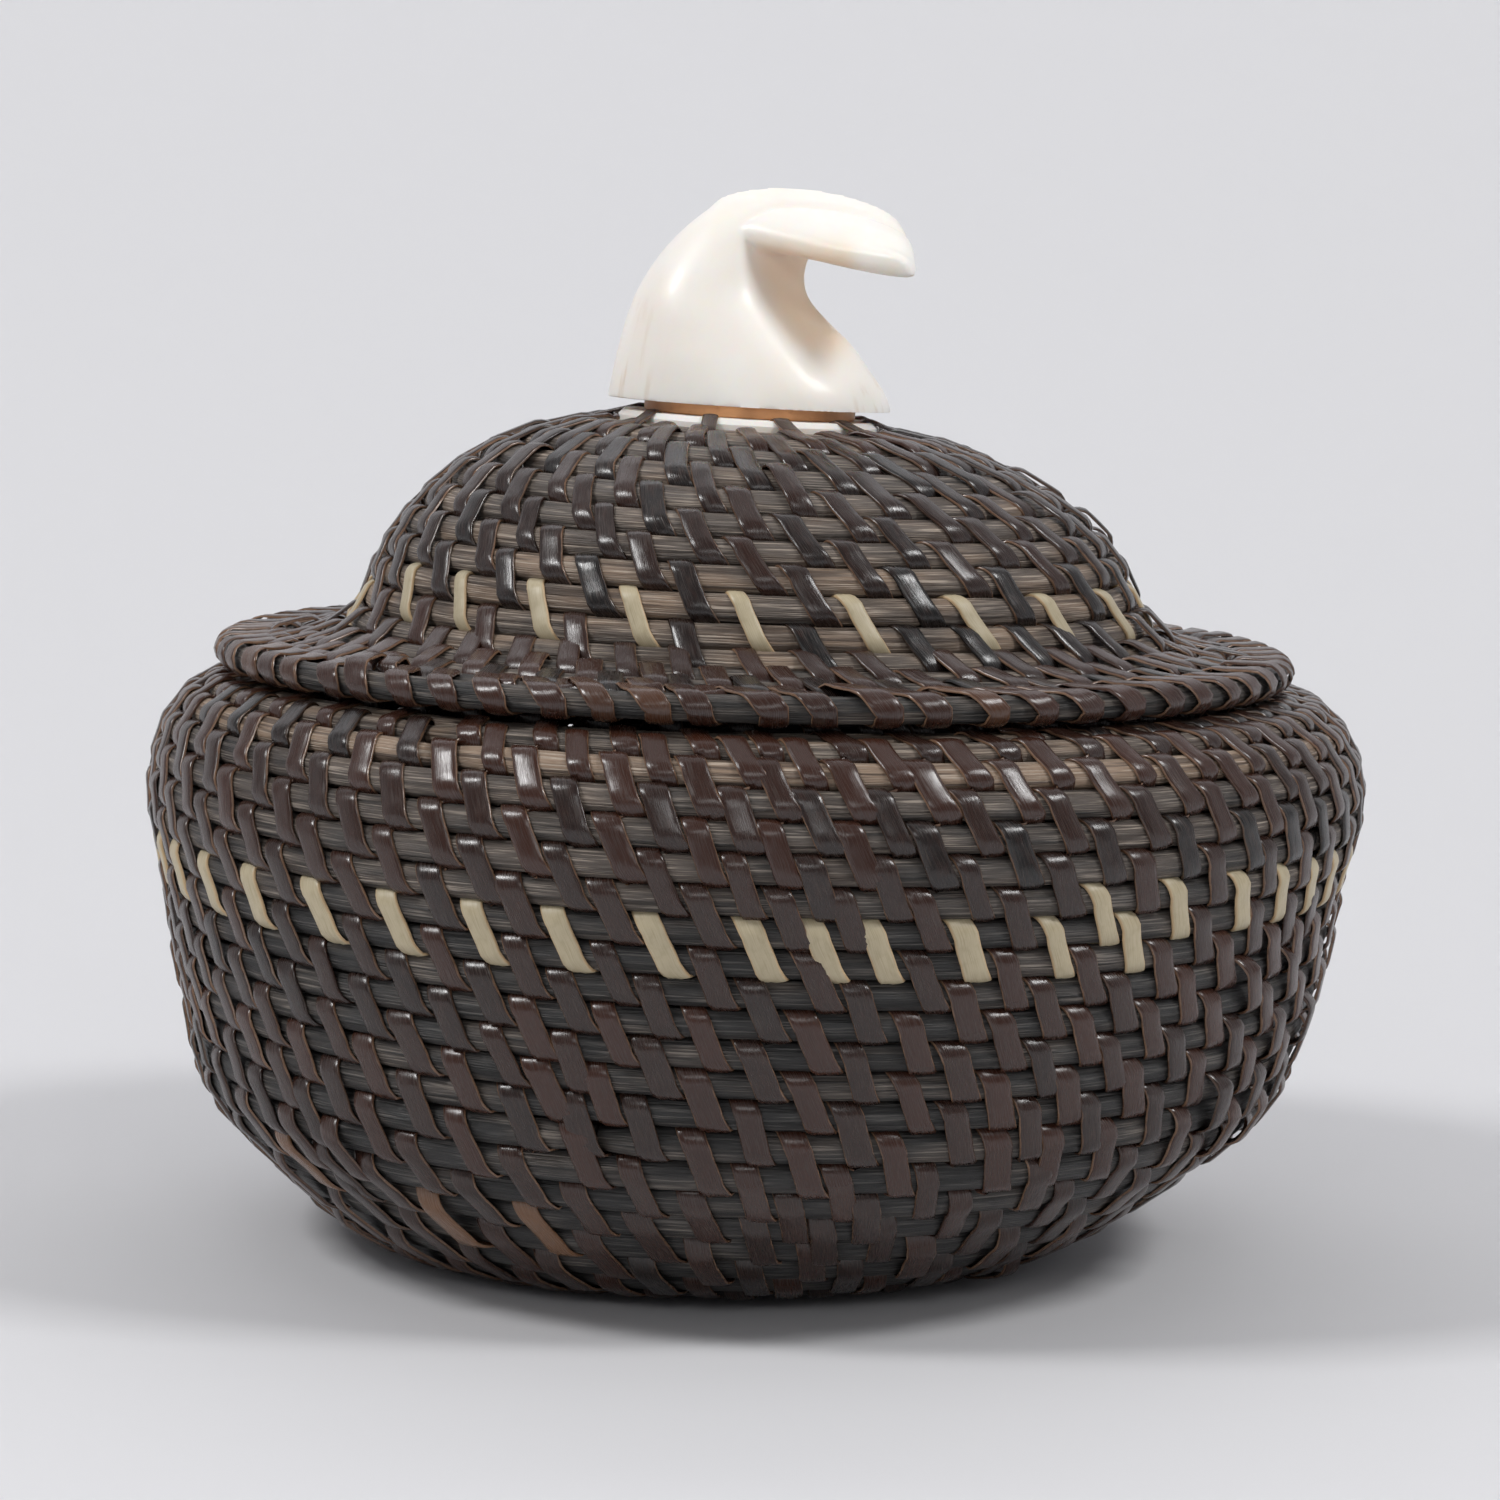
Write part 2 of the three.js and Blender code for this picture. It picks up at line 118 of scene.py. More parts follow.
def waver(turns: np.ndarray, beats: tuple[float, ...], seed: float) -> np.ndarray:
    """A slow wandering between about -1 and 1.

    Args:
        turns: Where along a coil it is read, in turns.
        beats: How many waves each part of it makes in a turn.
        seed: Which wandering it is.

    Returns:
        Its value at each place.
    """
    total = np.zeros_like(np.asarray(turns, float))
    for index, beat in enumerate(beats):
        total += np.sin(2 * math.pi * beat * turns + seed * (index + 1.7)) / (index + 1.4)
    return total / sum(1 / (index + 1.4) for index in range(len(beats)))


def spline(value: np.ndarray | float, knots: np.ndarray, levels: np.ndarray) -> np.ndarray:
    """A smooth curve through some levels.

    Args:
        value: Where it is read.
        knots: Where each level lies.
        levels: The levels.

    Returns:
        The curve at each value.
    """
    slopes = np.gradient(levels, knots)
    place = np.clip(value, knots[0], knots[-1])
    index = np.clip(np.searchsorted(knots, place) - 1, 0, len(knots) - 2)
    step = knots[index + 1] - knots[index]
    share = (place - knots[index]) / step
    rise = share * share * (3 - 2 * share)
    bend = slopes[index] * step * share * (1 - share) ** 2
    bend -= slopes[index + 1] * step * share**2 * (1 - share)
    return levels[index] * (1 - rise) + levels[index + 1] * rise + bend


def on_crown(x: np.ndarray | float, y: np.ndarray | float, z: np.ndarray | float) -> np.ndarray:
    """Carries a place over the lid's starter disc into the model's frame, all in millimetres.

    Args:
        x: How far it lies to the right of the finial's axis.
        y: How far it lies behind the axis.
        z: How high it lies over the disc.

    Returns:
        Its coordinates, on the crown's lean.
    """
    right = x * math.cos(CROWN_TILT) + z * math.sin(CROWN_TILT)
    height = CROWN_HEIGHT - x * math.sin(CROWN_TILT) + z * math.cos(CROWN_TILT)
    return np.stack([right - CROWN_SHIFT, y, height], axis=-1)


class Body(Enum):
    """The two pieces that move apart."""

    BASKET = "basket"
    LID = "lid"


class Slot(Enum):
    """The material slots of the record."""

    BLACK = "black_baleen"
    GREY = "grey_baleen"
    TAN = "tan_baleen"
    IVORY = "ivory"
    LEATHER = "tan_leather"


# Finishes

# The sockets of a node that mixes two colours
MIX_SHARE = 0
MIX_FIRST = 6
MIX_SECOND = 7
MIX_RESULT = 2


@dataclass(frozen=True)
class Grain:
    """A noise: how much finer it is along each axis, how fine it is and how many finer layers it has."""

    stretch: tuple[float, float, float]
    scale: float
    detail: float


@dataclass
class NodeSheet:
    """A material's node tree, with short ways to add to it."""

    material: bpy.types.Material

    @classmethod
    def named(cls, name: str) -> NodeSheet:
        """Starts an empty material.

        Args:
            name: The material's name.

        Returns:
            Its node tree's sheet.
        """
        material = bpy.data.materials.new(name)
        material.use_nodes = True
        material.node_tree.nodes.clear()
        return cls(material)

    def add(self, kind: str, **values: object) -> bpy.types.Node:
        """Adds a node.

        Args:
            kind: Its type in Blender.
            values: Its settings, and the values of its sockets as in_NAME.

        Returns:
            The node.
        """
        node = self.material.node_tree.nodes.new(kind)
        for key, value in values.items():
            if key.startswith("in_"):
                node.inputs[key.removeprefix("in_")].default_value = value
            else:
                setattr(node, key, value)
        return node

    def join(self, source: bpy.types.NodeSocket, target: bpy.types.NodeSocket) -> None:
        """Links two sockets."""
        self.material.node_tree.links.new(source, target)

    def math(self, operation: str, first: object, second: object = 0.0) -> object:
        """Works out something from one or two numbers.

        Args:
            operation: What Blender calls the operation.
            first: The first number, or a socket that gives it.
            second: The second number or its socket, where the operation needs one.

        Returns:
            The socket that gives the result.
        """
        node = self.add("ShaderNodeMath", operation=operation)
        for socket, value in zip(node.inputs, (first, second)):
            if isinstance(value, bpy.types.NodeSocket):
                self.join(value, socket)
            else:
                socket.default_value = value
        return node.outputs[0]

    def mix(self, share: object, first: object, second: object) -> object:
        """Blends two colours.

        Args:
            share: How much of the second one is taken, as a number or a socket.
            first: The first colour, or a socket that gives it.
            second: The second colour or its socket.

        Returns:
            The socket that gives the blend.
        """
        node = self.add("ShaderNodeMix", data_type="RGBA")
        for index, value in ((MIX_SHARE, share), (MIX_FIRST, first), (MIX_SECOND, second)):
            socket = node.inputs[index]
            if isinstance(value, bpy.types.NodeSocket):
                self.join(value, socket)
            elif isinstance(value, tuple):
                socket.default_value = (*value, 1.0)
            else:
                socket.default_value = value
        return node.outputs[MIX_RESULT]

    def ramp(
        self, value: object, low: float, high: float, start: float = 0.0, end: float = 1.0
    ) -> object:
        """A number carried smoothly from one range to another.

        Args:
            value: The socket that gives the number.
            low: Where the first range starts.
            high: Where the first range ends.
            start: What the number becomes at the first range's start.
            end: What it becomes at that range's end.

        Returns:
            The socket that gives the result.
        """
        node = self.add("ShaderNodeMapRange", interpolation_type="SMOOTHSTEP")
        node.inputs["From Min"].default_value = low
        node.inputs["From Max"].default_value = high
        node.inputs["To Min"].default_value = start
        node.inputs["To Max"].default_value = end
        self.join(value, node.inputs["Value"])
        return node.outputs["Result"]

    def tones(self) -> tuple[object, object, object]:
        """Reads a mesh's tone.

        Returns:
            The sockets that give its three parts.
        """
        tone = self.add("ShaderNodeAttribute", attribute_name="tone")
        parts = self.add("ShaderNodeSeparateColor")
        self.join(tone.outputs["Color"], parts.inputs["Color"])
        return parts.outputs["Red"], parts.outputs["Green"], parts.outputs["Blue"]

    def strip_place(self) -> object:
        """The socket that gives how far across and along its rod or strip a place lies."""
        return self.add("ShaderNodeUVMap", uv_map="strip").outputs["UV"]

    def from_middle(self, place: object) -> object:
        """Measures how far from a strip's middle line a place lies.

        Args:
            place: The socket that gives how far across and along the strip it lies.

        Returns:
            The socket that gives the distance, in widths of the strip.
        """
        parts = self.add("ShaderNodeSeparateXYZ")
        self.join(place, parts.inputs["Vector"])
        return self.math("ABSOLUTE", self.math("SUBTRACT", parts.outputs["X"], 0.5))

    def noise(self, vector: object, grain: Grain) -> object:
        """Reads a noise.

        Args:
            vector: The socket that gives the place.
            grain: The noise.

        Returns:
            The socket that gives its value there.
        """
        mapping = self.add("ShaderNodeMapping")
        mapping.inputs["Scale"].default_value = grain.stretch
        self.join(vector, mapping.inputs["Vector"])
        node = self.add("ShaderNodeTexNoise", in_Scale=grain.scale, in_Detail=grain.detail)
        self.join(mapping.outputs["Vector"], node.inputs["Vector"])
        return node.outputs["Fac"]

    def finish(
        self, shader: bpy.types.Node, height: object, depth: float, strength: float
    ) -> bpy.types.Material:
        """Adds the bump and the output.

        Args:
            shader: The material's shader.
            height: The socket that gives the bump's height.
            depth: How deep the bump is, in metres.
            strength: How much of it is used.

        Returns:
            The material.
        """
        bump = self.add("ShaderNodeBump", in_Strength=strength, in_Distance=depth)
        self.join(height, bump.inputs["Height"])
        self.join(bump.outputs["Normal"], shader.inputs["Normal"])
        output = self.add("ShaderNodeOutputMaterial")
        self.join(shader.outputs[0], output.inputs["Surface"])
        return self.material


@dataclass(frozen=True)
class StripFinish:
    """Thin polished strips of baleen: dark, with a fine grain along them and paler cut edges."""

    name: str = "baleen_strip"
    grey: Colour = (0.0056, 0.0048, 0.0046)
    brown: Colour = (0.044, 0.0152, 0.0086)
    edge: Colour = (0.210, 0.120, 0.072)
    streak: Colour = (0.050, 0.034, 0.027)
    amber: Colour = (0.235, 0.118, 0.058)
    roughness: float = 0.23
    refraction: float = 1.57
    edge_waver: float = 0.10
    fine: Grain = Grain((9.0, 0.16, 1.0), 3.0, 6.0)
    broad: Grain = Grain((1.6, 0.35, 1.0), 2.0, 3.0)
    grain_depth: float = 0.00004

    def material(self) -> bpy.types.Material:
        """Builds the material.

        Returns:
            The material.
        """
        sheet = NodeSheet.named(self.name)
        brownness, paleness, amberness = sheet.tones()
        place = sheet.strip_place()
        side = sheet.from_middle(place)
        fine = sheet.noise(place, self.fine)
        broad = sheet.noise(place, self.broad)
        body = sheet.mix(brownness, self.grey, self.brown)
        body = sheet.mix(sheet.ramp(broad, 0.45, 0.75, 0.0, 0.35), body, self.brown)
        body = sheet.mix(sheet.ramp(fine, 0.5, 0.72, 0.0, 0.8), body, self.streak)
        uneven = sheet.math("MULTIPLY", sheet.math("SUBTRACT", broad, 0.5), self.edge_waver)
        cut = sheet.ramp(sheet.math("ADD", side, uneven), 0.46, 0.5)
        rim = sheet.math("MULTIPLY", cut, sheet.ramp(paleness, 0.1, 1.0))
        colour = sheet.mix(amberness, sheet.mix(rim, body, self.edge), self.amber)
        rough = sheet.ramp(fine, 0.25, 0.8, self.roughness - 0.06, self.roughness + 0.16)
        shader = sheet.add("ShaderNodeBsdfPrincipled", in_IOR=self.refraction)
        sheet.join(colour, shader.inputs["Base Color"])
        sheet.join(rough, shader.inputs["Roughness"])
        height = sheet.math("ADD", fine, sheet.math("MULTIPLY", broad, 0.8))
        return sheet.finish(shader, height, self.grain_depth, 0.35)


@dataclass(frozen=True)
class PaleStripFinish:
    """The pale strips of the two bands: greenish cream, warm where their edges were cut."""

    name: str = "pale_strip"
    face: Colour = (0.50, 0.43, 0.29)
    shade: Colour = (0.36, 0.29, 0.175)
    edge: Colour = (0.55, 0.39, 0.22)
    roughness: float = 0.38
    fine: Grain = Grain((8.0, 0.14, 1.0), 3.0, 6.0)
    broad: Grain = Grain((1.2, 0.5, 1.0), 2.0, 2.0)
    grain_depth: float = 0.00005

    def material(self) -> bpy.types.Material:
        """Builds the material.

        Returns:
            The material.
        """
        sheet = NodeSheet.named(self.name)
        place = sheet.strip_place()
        side = sheet.from_middle(place)
        fine = sheet.noise(place, self.fine)
        broad = sheet.noise(place, self.broad)
        body = sheet.mix(sheet.ramp(fine, 0.4, 0.85), self.face, self.shade)
        body = sheet.mix(sheet.ramp(broad, 0.45, 0.8, 0.0, 0.5), body, self.shade)
        colour = sheet.mix(sheet.ramp(side, 0.40, 0.5), body, self.edge)
        shader = sheet.add("ShaderNodeBsdfPrincipled", in_IOR=1.5, in_Roughness=self.roughness)
        sheet.join(colour, shader.inputs["Base Color"])
        return sheet.finish(shader, fine, self.grain_depth, 0.5)


@dataclass(frozen=True)
class RodFinish:
    """Split rods with fibres along them, black to grey-brown and tan by the row's tone."""

    name: str = "baleen_rod"
    black: Colour = (0.020, 0.0195, 0.0190)
    grey: Colour = (0.105, 0.084, 0.069)
    tan: Colour = (0.31, 0.218, 0.150)
    grey_fibre: Colour = (0.120, 0.112, 0.103)
    tan_fibre: Colour = (0.54, 0.45, 0.365)
    black_crack: Colour = (0.005, 0.0046, 0.0042)
    brown_crack: Colour = (0.060, 0.038, 0.026)
    roughness: float = 0.42
    fibre: Grain = Grain((38.0, 0.11, 1.0), 1.6, 6.0)
    coarse: Grain = Grain((13.0, 0.05, 1.0), 1.2, 5.0)
    patch: Grain = Grain((2.0, 0.09, 1.0), 1.0, 2.0)
    grain_depth: float = 0.00030

    def material(self) -> bpy.types.Material:
        """Builds the material.

        Returns:
            The material.
        """
        sheet = NodeSheet.named(self.name)
        paleness = sheet.tones()[0]
        place = sheet.strip_place()
        fibre = sheet.noise(place, self.fibre)
        coarse = sheet.noise(place, self.coarse)
        patch = sheet.noise(place, self.patch)
        shade = sheet.math("ADD", paleness, sheet.ramp(patch, 0.3, 0.75, -0.22, 0.22))
        body = sheet.mix(sheet.ramp(shade, 0.0, 0.6), self.black, self.grey)
        body = sheet.mix(sheet.ramp(shade, 0.55, 1.0), body, self.tan)
        pale = sheet.mix(sheet.ramp(shade, 0.0, 0.8), self.grey_fibre, self.tan_fibre)
        dark = sheet.mix(sheet.ramp(shade, 0.2, 0.9), self.black_crack, self.brown_crack)
        body = sheet.mix(sheet.ramp(fibre, 0.50, 0.64, 0.0, 0.8), body, pale)
        body = sheet.mix(sheet.ramp(coarse, 0.49, 0.40, 0.0, 0.8), body, dark)
        rough = sheet.ramp(fibre, 0.3, 0.75, self.roughness - 0.1, self.roughness + 0.2)
        shader = sheet.add("ShaderNodeBsdfPrincipled", in_IOR=1.5)
        sheet.join(body, shader.inputs["Base Color"])
        sheet.join(rough, shader.inputs["Roughness"])
        height = sheet.math("ADD", fibre, sheet.math("MULTIPLY", coarse, 1.4))
        return sheet.finish(shader, height, self.grain_depth, 0.85)


@dataclass(frozen=True)
class IvoryFinish:
    """Polished ivory: pinkish cream, with faint brown streaks where it is oldest, and painted shade, warm
    and darker, in the tail's hollow under the flukes.
    """

    name: str = "ivory"
    cream: Colour = (0.98, 0.925, 0.865)
    rose: Colour = (0.965, 0.88, 0.80)
    # Painted shade: the warm darker colour mixed into the hollow under the flukes
    hollow: Colour = (0.88, 0.69, 0.50)
    streak: Colour = (0.72, 0.56, 0.42)
    roughness: float = 0.36
    refraction: float = 1.54
    glow: float = 0.4
    glow_depth: float = 0.0022
    glow_reach: Colour = (1.0, 0.62, 0.42)
    polish: float = 0.12
    cloud: Grain = Grain((90.0, 90.0, 40.0), 1.2, 3.0)
    lines: Grain = Grain((900.0, 900.0, 70.0), 1.0, 4.0)
    grain_depth: float = 0.00004

    def material(self) -> bpy.types.Material:
        """Builds the material.

        Returns:
            The material.
        """
        sheet = NodeSheet.named(self.name)
        place = sheet.add("ShaderNodeTexCoord").outputs["Object"]
        cloud = sheet.noise(place, self.cloud)
        lines = sheet.noise(place, self.lines)
        painted_hollow_shade, aged, _ = sheet.tones()
        body = sheet.mix(sheet.ramp(cloud, 0.35, 0.7), self.cream, self.rose)
        # Painted shade in the hollow under the flukes, weighted by the tone's first part
        body = sheet.mix(sheet.math("MULTIPLY", painted_hollow_shade, 0.8), body, self.hollow)
        worn = sheet.math("MULTIPLY", sheet.ramp(lines, 0.5, 0.78), aged)
        body = sheet.mix(sheet.math("MULTIPLY", worn, 0.65), body, self.streak)
        rough = sheet.ramp(cloud, 0.3, 0.8, self.roughness, self.roughness + 0.1)
        shader = sheet.add("ShaderNodeBsdfPrincipled", in_IOR=self.refraction)
        shader.inputs["Subsurface Weight"].default_value = self.glow
        shader.inputs["Subsurface Radius"].default_value = self.glow_reach
        shader.inputs["Subsurface Scale"].default_value = self.glow_depth
        shader.inputs["Coat Weight"].default_value = self.polish
        shader.inputs["Coat Roughness"].default_value = self.polish
        sheet.join(body, shader.inputs["Base Color"])
        sheet.join(rough, shader.inputs["Roughness"])
        return sheet.finish(shader, sheet.math("ADD", lines, cloud), self.grain_depth, 0.35)


@dataclass(frozen=True)
class LeatherFinish:
    """The thin tan spacer under the tail."""

    name: str = "tan_leather"
    face: Colour = (0.86, 0.46, 0.215)
    dark: Colour = (0.60, 0.29, 0.125)
    roughness: float = 0.5
    grain: Grain = Grain((1400.0, 1400.0, 3000.0), 1.0, 4.0)
    cloud: Grain = Grain((160.0, 160.0, 60.0), 1.0, 3.0)
    grain_depth: float = 0.00008

    def material(self) -> bpy.types.Material:
        """Builds the material.

        Returns:
            The material.
        """
        sheet = NodeSheet.named(self.name)
        place = sheet.add("ShaderNodeTexCoord").outputs["Object"]
        grain = sheet.noise(place, self.grain)
        cloud = sheet.noise(place, self.cloud)
        body = sheet.mix(sheet.ramp(cloud, 0.38, 0.7), self.face, self.dark)
        body = sheet.mix(sheet.ramp(grain, 0.5, 0.8, 0.0, 0.5), body, self.dark)
        shader = sheet.add("ShaderNodeBsdfPrincipled", in_Roughness=self.roughness)
        sheet.join(body, shader.inputs["Base Color"])
        return sheet.finish(shader, grain, self.grain_depth, 0.5)


@dataclass(frozen=True)
class PaperFinish:
    """The plain pale ground that the basket stands on, clear to a camera that looks through its back."""

    name: str = "pale_ground"
    face: Colour = (0.720, 0.719, 0.736)
    roughness: float = 0.85
    shine: float = 0.15
    grain: Grain = Grain((300.0, 300.0, 300.0), 1.0, 2.0)
    grain_depth: float = 0.00001

    def material(self) -> bpy.types.Material:
        """Builds the material.

        Returns:
            The material.
        """
        sheet = NodeSheet.named(self.name)
        place = sheet.add("ShaderNodeTexCoord").outputs["Object"]
        grain = sheet.noise(place, self.grain)
        shader = sheet.add("ShaderNodeBsdfPrincipled", in_Roughness=self.roughness)
        shader.inputs["Specular IOR Level"].default_value = self.shine
        shader.inputs["Base Color"].default_value = (*self.face, 1.0)
        material = sheet.finish(shader, grain, self.grain_depth, 0.1)
        back = sheet.add("ShaderNodeNewGeometry").outputs["Backfacing"]
        seen = sheet.add("ShaderNodeLightPath").outputs["Is Camera Ray"]
        blend = sheet.add("ShaderNodeMixShader")
        sheet.join(sheet.math("MULTIPLY", back, seen), blend.inputs["Fac"])
        sheet.join(shader.outputs["BSDF"], blend.inputs[1])
        sheet.join(sheet.add("ShaderNodeBsdfTransparent").outputs["BSDF"], blend.inputs[2])
        output = next(node for node in material.node_tree.nodes if node.type == "OUTPUT_MATERIAL")
        sheet.join(blend.outputs["Shader"], output.inputs["Surface"])
        return material


@dataclass
class Wardrobe:
    """The materials, each made once."""

    strip: bpy.types.Material = field(default_factory=lambda: StripFinish().material())
    pale: bpy.types.Material = field(default_factory=lambda: PaleStripFinish().material())
    rod: bpy.types.Material = field(default_factory=lambda: RodFinish().material())
    ivory: bpy.types.Material = field(default_factory=lambda: IvoryFinish().material())
    leather: bpy.types.Material = field(default_factory=lambda: LeatherFinish().material())
    ground: bpy.types.Material = field(default_factory=lambda: PaperFinish().material())


# Meshes


@dataclass
class Skin:
    """Faces through rings of points, gathered from any number of tubes.

    Its uv map, strip, holds how far across and along its tube a place lies. Its colours, tone, hold the
    shades that the finishes read.
    """

    points: list[np.ndarray] = field(default_factory=list)
    quads: list[np.ndarray] = field(default_factory=list)
    quad_uvs: list[np.ndarray] = field(default_factory=list)
    caps: list[np.ndarray] = field(default_factory=list)
    tones: list[np.ndarray] = field(default_factory=list)
    sharp: list[np.ndarray] = field(default_factory=list)
    count: int = 0

    def add_tube(
        self,
        rings: np.ndarray,
        lengths: np.ndarray,
        across: np.ndarray,
        tones: np.ndarray,
        creases: tuple[int, ...] = (),
        capped: bool = True,
    ) -> None:
        """Adds one tube.

        Args:
            rings: Its points, ring by ring, shaped (rings, points, 3).
            lengths: How far along the tube each ring lies.
            across: How far across each ring's points lie, with one more value for the way back to the
                first point.
            tones: A tone for each ring, shaped (rings, 3).
            creases: The points whose lengthwise edges stay sharp.
            capped: Whether its ends are closed.
        """
        ring_count, size, _ = rings.shape
        index = self.count + np.arange(ring_count * size).reshape(ring_count, size)
        beside = np.roll(index, -1, axis=1)
        quads = np.stack([index[:-1], beside[:-1], beside[1:], index[1:]], axis=-1)
        near = np.broadcast_to(lengths[:-1, None], (ring_count - 1, size))
        far = np.broadcast_to(lengths[1:, None], (ring_count - 1, size))
        begin = np.broadcast_to(across[None, :-1], near.shape)
        finish = np.broadcast_to(across[None, 1:], near.shape)
        uvs = np.stack([begin, near, finish, near, finish, far, begin, far], axis=-1)
        self.points.append(rings.reshape(-1, 3))
        self.quads.append(quads.reshape(-1, 4))
        self.quad_uvs.append(uvs.reshape(-1, 4, 2))
        self.tones.append(np.repeat(tones, size, axis=0))
        for crease in creases:
            self.sharp.append(np.stack([index[:-1, crease], index[1:, crease]], axis=-1))
        if capped:
            self.caps.append(index[0][::-1])
            self.caps.append(index[-1])
        self.count += ring_count * size

    def make(self, name: str, material: bpy.types.Material) -> bpy.types.Object:
        """Makes the object.

        Args:
            name: Its name.
            material: Its material.

        Returns:
            The object, linked to the scene.
        """
        points = np.concatenate(self.points) * MM
        quads = np.concatenate(self.quads)
        mesh = bpy.data.meshes.new(name)
        mesh.vertices.add(len(points))
        mesh.vertices.foreach_set("co", points.astype(np.float32).ravel())
        loops = np.concatenate([quads.ravel(), *self.caps])
        sizes = np.array([4] * len(quads) + [len(cap) for cap in self.caps])
        starts = np.concatenate([[0], np.cumsum(sizes)[:-1]])
        mesh.loops.add(len(loops))
        mesh.loops.foreach_set("vertex_index", loops.astype(np.int32))
        mesh.polygons.add(len(sizes))
        mesh.polygons.foreach_set("loop_start", starts.astype(np.int32))
        mesh.polygons.foreach_set("use_smooth", np.ones(len(sizes), bool))
        mesh.update(calc_edges=True)
        uvs = np.zeros((len(loops), 2), np.float32)
        uvs[: quads.size] = np.concatenate(self.quad_uvs).reshape(-1, 2)
        mesh.uv_layers.new(name="strip").data.foreach_set("uv", uvs.ravel())
        tone = mesh.color_attributes.new("tone", "FLOAT_COLOR", "POINT")
        tones = np.concatenate(self.tones)
        rgba = np.concatenate([tones, np.ones((len(tones), 1))], axis=1).astype(np.float32)
        tone.data.foreach_set("color", rgba.ravel())
        if self.sharp:
            self.crease(mesh)
        mesh.validate()
        mesh.materials.append(material)
        made = bpy.data.objects.new(name, mesh)
        bpy.context.scene.collection.objects.link(made)
        return made

    def crease(self, mesh: bpy.types.Mesh) -> None:
        """Marks the lengthwise edges that stay sharp.

        Args:
            mesh: The mesh, with its edges already worked out.
        """
        wanted = np.sort(np.concatenate(self.sharp), axis=1).astype(np.int64)
        edges = np.empty(len(mesh.edges) * 2, np.int32)
        mesh.edges.foreach_get("vertices", edges)
        edges = np.sort(edges.reshape(-1, 2), axis=1).astype(np.int64)
        keys = edges[:, 0] * self.count + edges[:, 1]
        flags = np.isin(keys, wanted[:, 0] * self.count + wanted[:, 1])
        attribute = mesh.attributes.new("sharp_edge", "BOOLEAN", "EDGE")
        attribute.data.foreach_set("value", flags)


def dress(piece: bpy.types.Object, body: Body, slot: Slot, *nodes: str) -> None:
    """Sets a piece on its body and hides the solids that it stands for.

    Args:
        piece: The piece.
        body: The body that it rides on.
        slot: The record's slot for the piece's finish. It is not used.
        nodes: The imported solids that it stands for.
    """
    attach(piece, body.value)
    if nodes:
        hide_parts(*nodes)
    LOG.info("%s: %d faces", piece.name, len(piece.data.polygons))


# The coils


def cut_corners(points: np.ndarray) -> np.ndarray:
    """Cuts each corner of an outline a quarter of the way along its sides.

    Args:
        points: The outline's points.

    Returns:
        The points of the outline with its corners cut.
    """
    first, second = points[:-1], points[1:]
    cuts = np.stack([first * 0.75 + second * 0.25, first * 0.25 + second * 0.75], axis=1)
    return np.concatenate([points[:1], cuts.reshape(-1, 2), points[-1:]])


@dataclass
class WallLine:
    """The middle of a wall in section, read by the distance along it."""

    corners: list[tuple[float, float]]
    side: int
    pad: float = 6.0
    step: float = 0.1
    softness: float = 0.7
    window_steps: int = 20
    kept_steps: int = 25
    sight: float = 0.6
    length: float = field(init=False)
    places: np.ndarray = field(init=False)
    points: np.ndarray = field(init=False)

    def __post_init__(self) -> None:
        """Works out the middle line and smooths it."""
        line = cut_corners(cut_corners(np.array(self.corners, float)))
        before = line[np.maximum(np.arange(len(line)) - 1, 0)]
        after = line[np.minimum(np.arange(len(line)) + 1, len(line) - 1)]
        along = after - before
        along /= np.linalg.norm(along, axis=1, keepdims=True)
        inward = np.stack([-along[:, 1], along[:, 0]], axis=1) * self.side
        middle = line + inward * WALL_THICKNESS / 2
        reach = np.concatenate([[0], np.cumsum(np.linalg.norm(np.diff(middle, axis=0), axis=1))])
        self.length = float(reach[-1])
        self.places = np.arange(-self.pad, self.length + self.pad, self.step)
        flat = self.drawn_out(middle, reach)
        offsets = np.arange(-self.window_steps, self.window_steps + 1) * self.step
        window = np.exp(-0.5 * (offsets / self.softness) ** 2)
        window /= window.sum()
        padded = np.pad(flat, ((self.window_steps, self.window_steps), (0, 0)), mode="edge")
        soft = np.stack([np.convolve(padded[:, axis], window, "valid") for axis in (0, 1)], axis=1)
        soft[: self.kept_steps] = flat[: self.kept_steps]
        soft[-self.kept_steps :] = flat[-self.kept_steps :]
        self.points = soft

    def drawn_out(self, middle: np.ndarray, reach: np.ndarray) -> np.ndarray:
        """The middle line at even steps, carried straight on past both of its ends.

        Args:
            middle: The line's points.
            reach: How far along the line each one lies.

        Returns:
            The radius and height at each step.
        """
        inside = np.clip(self.places, 0, self.length)
        flat = np.stack([np.interp(inside, reach, middle[:, axis]) for axis in (0, 1)], axis=1)
        start = (middle[1] - middle[0]) / np.linalg.norm(middle[1] - middle[0])
        end = (middle[-1] - middle[-2]) / np.linalg.norm(middle[-1] - middle[-2])
        flat += np.outer(np.minimum(self.places, 0), start)
        flat += np.outer(np.maximum(self.places - self.length, 0), end)
        return flat

    def at(self, distance: np.ndarray) -> np.ndarray:
        """The radius and height at each distance."""
        columns = [np.interp(distance, self.places, self.points[:, axis]) for axis in (0, 1)]
        return np.stack(columns, axis=-1)

    def along(self, distance: np.ndarray) -> np.ndarray:
        """The way that the line runs at each distance."""
        way = self.at(distance + self.sight) - self.at(distance - self.sight)
        return way / np.linalg.norm(way, axis=-1, keepdims=True)


@dataclass
class Row:
    """A coil's rod at some places along it."""

    centre: np.ndarray
    along: np.ndarray
    outward: np.ndarray
    half_width: np.ndarray


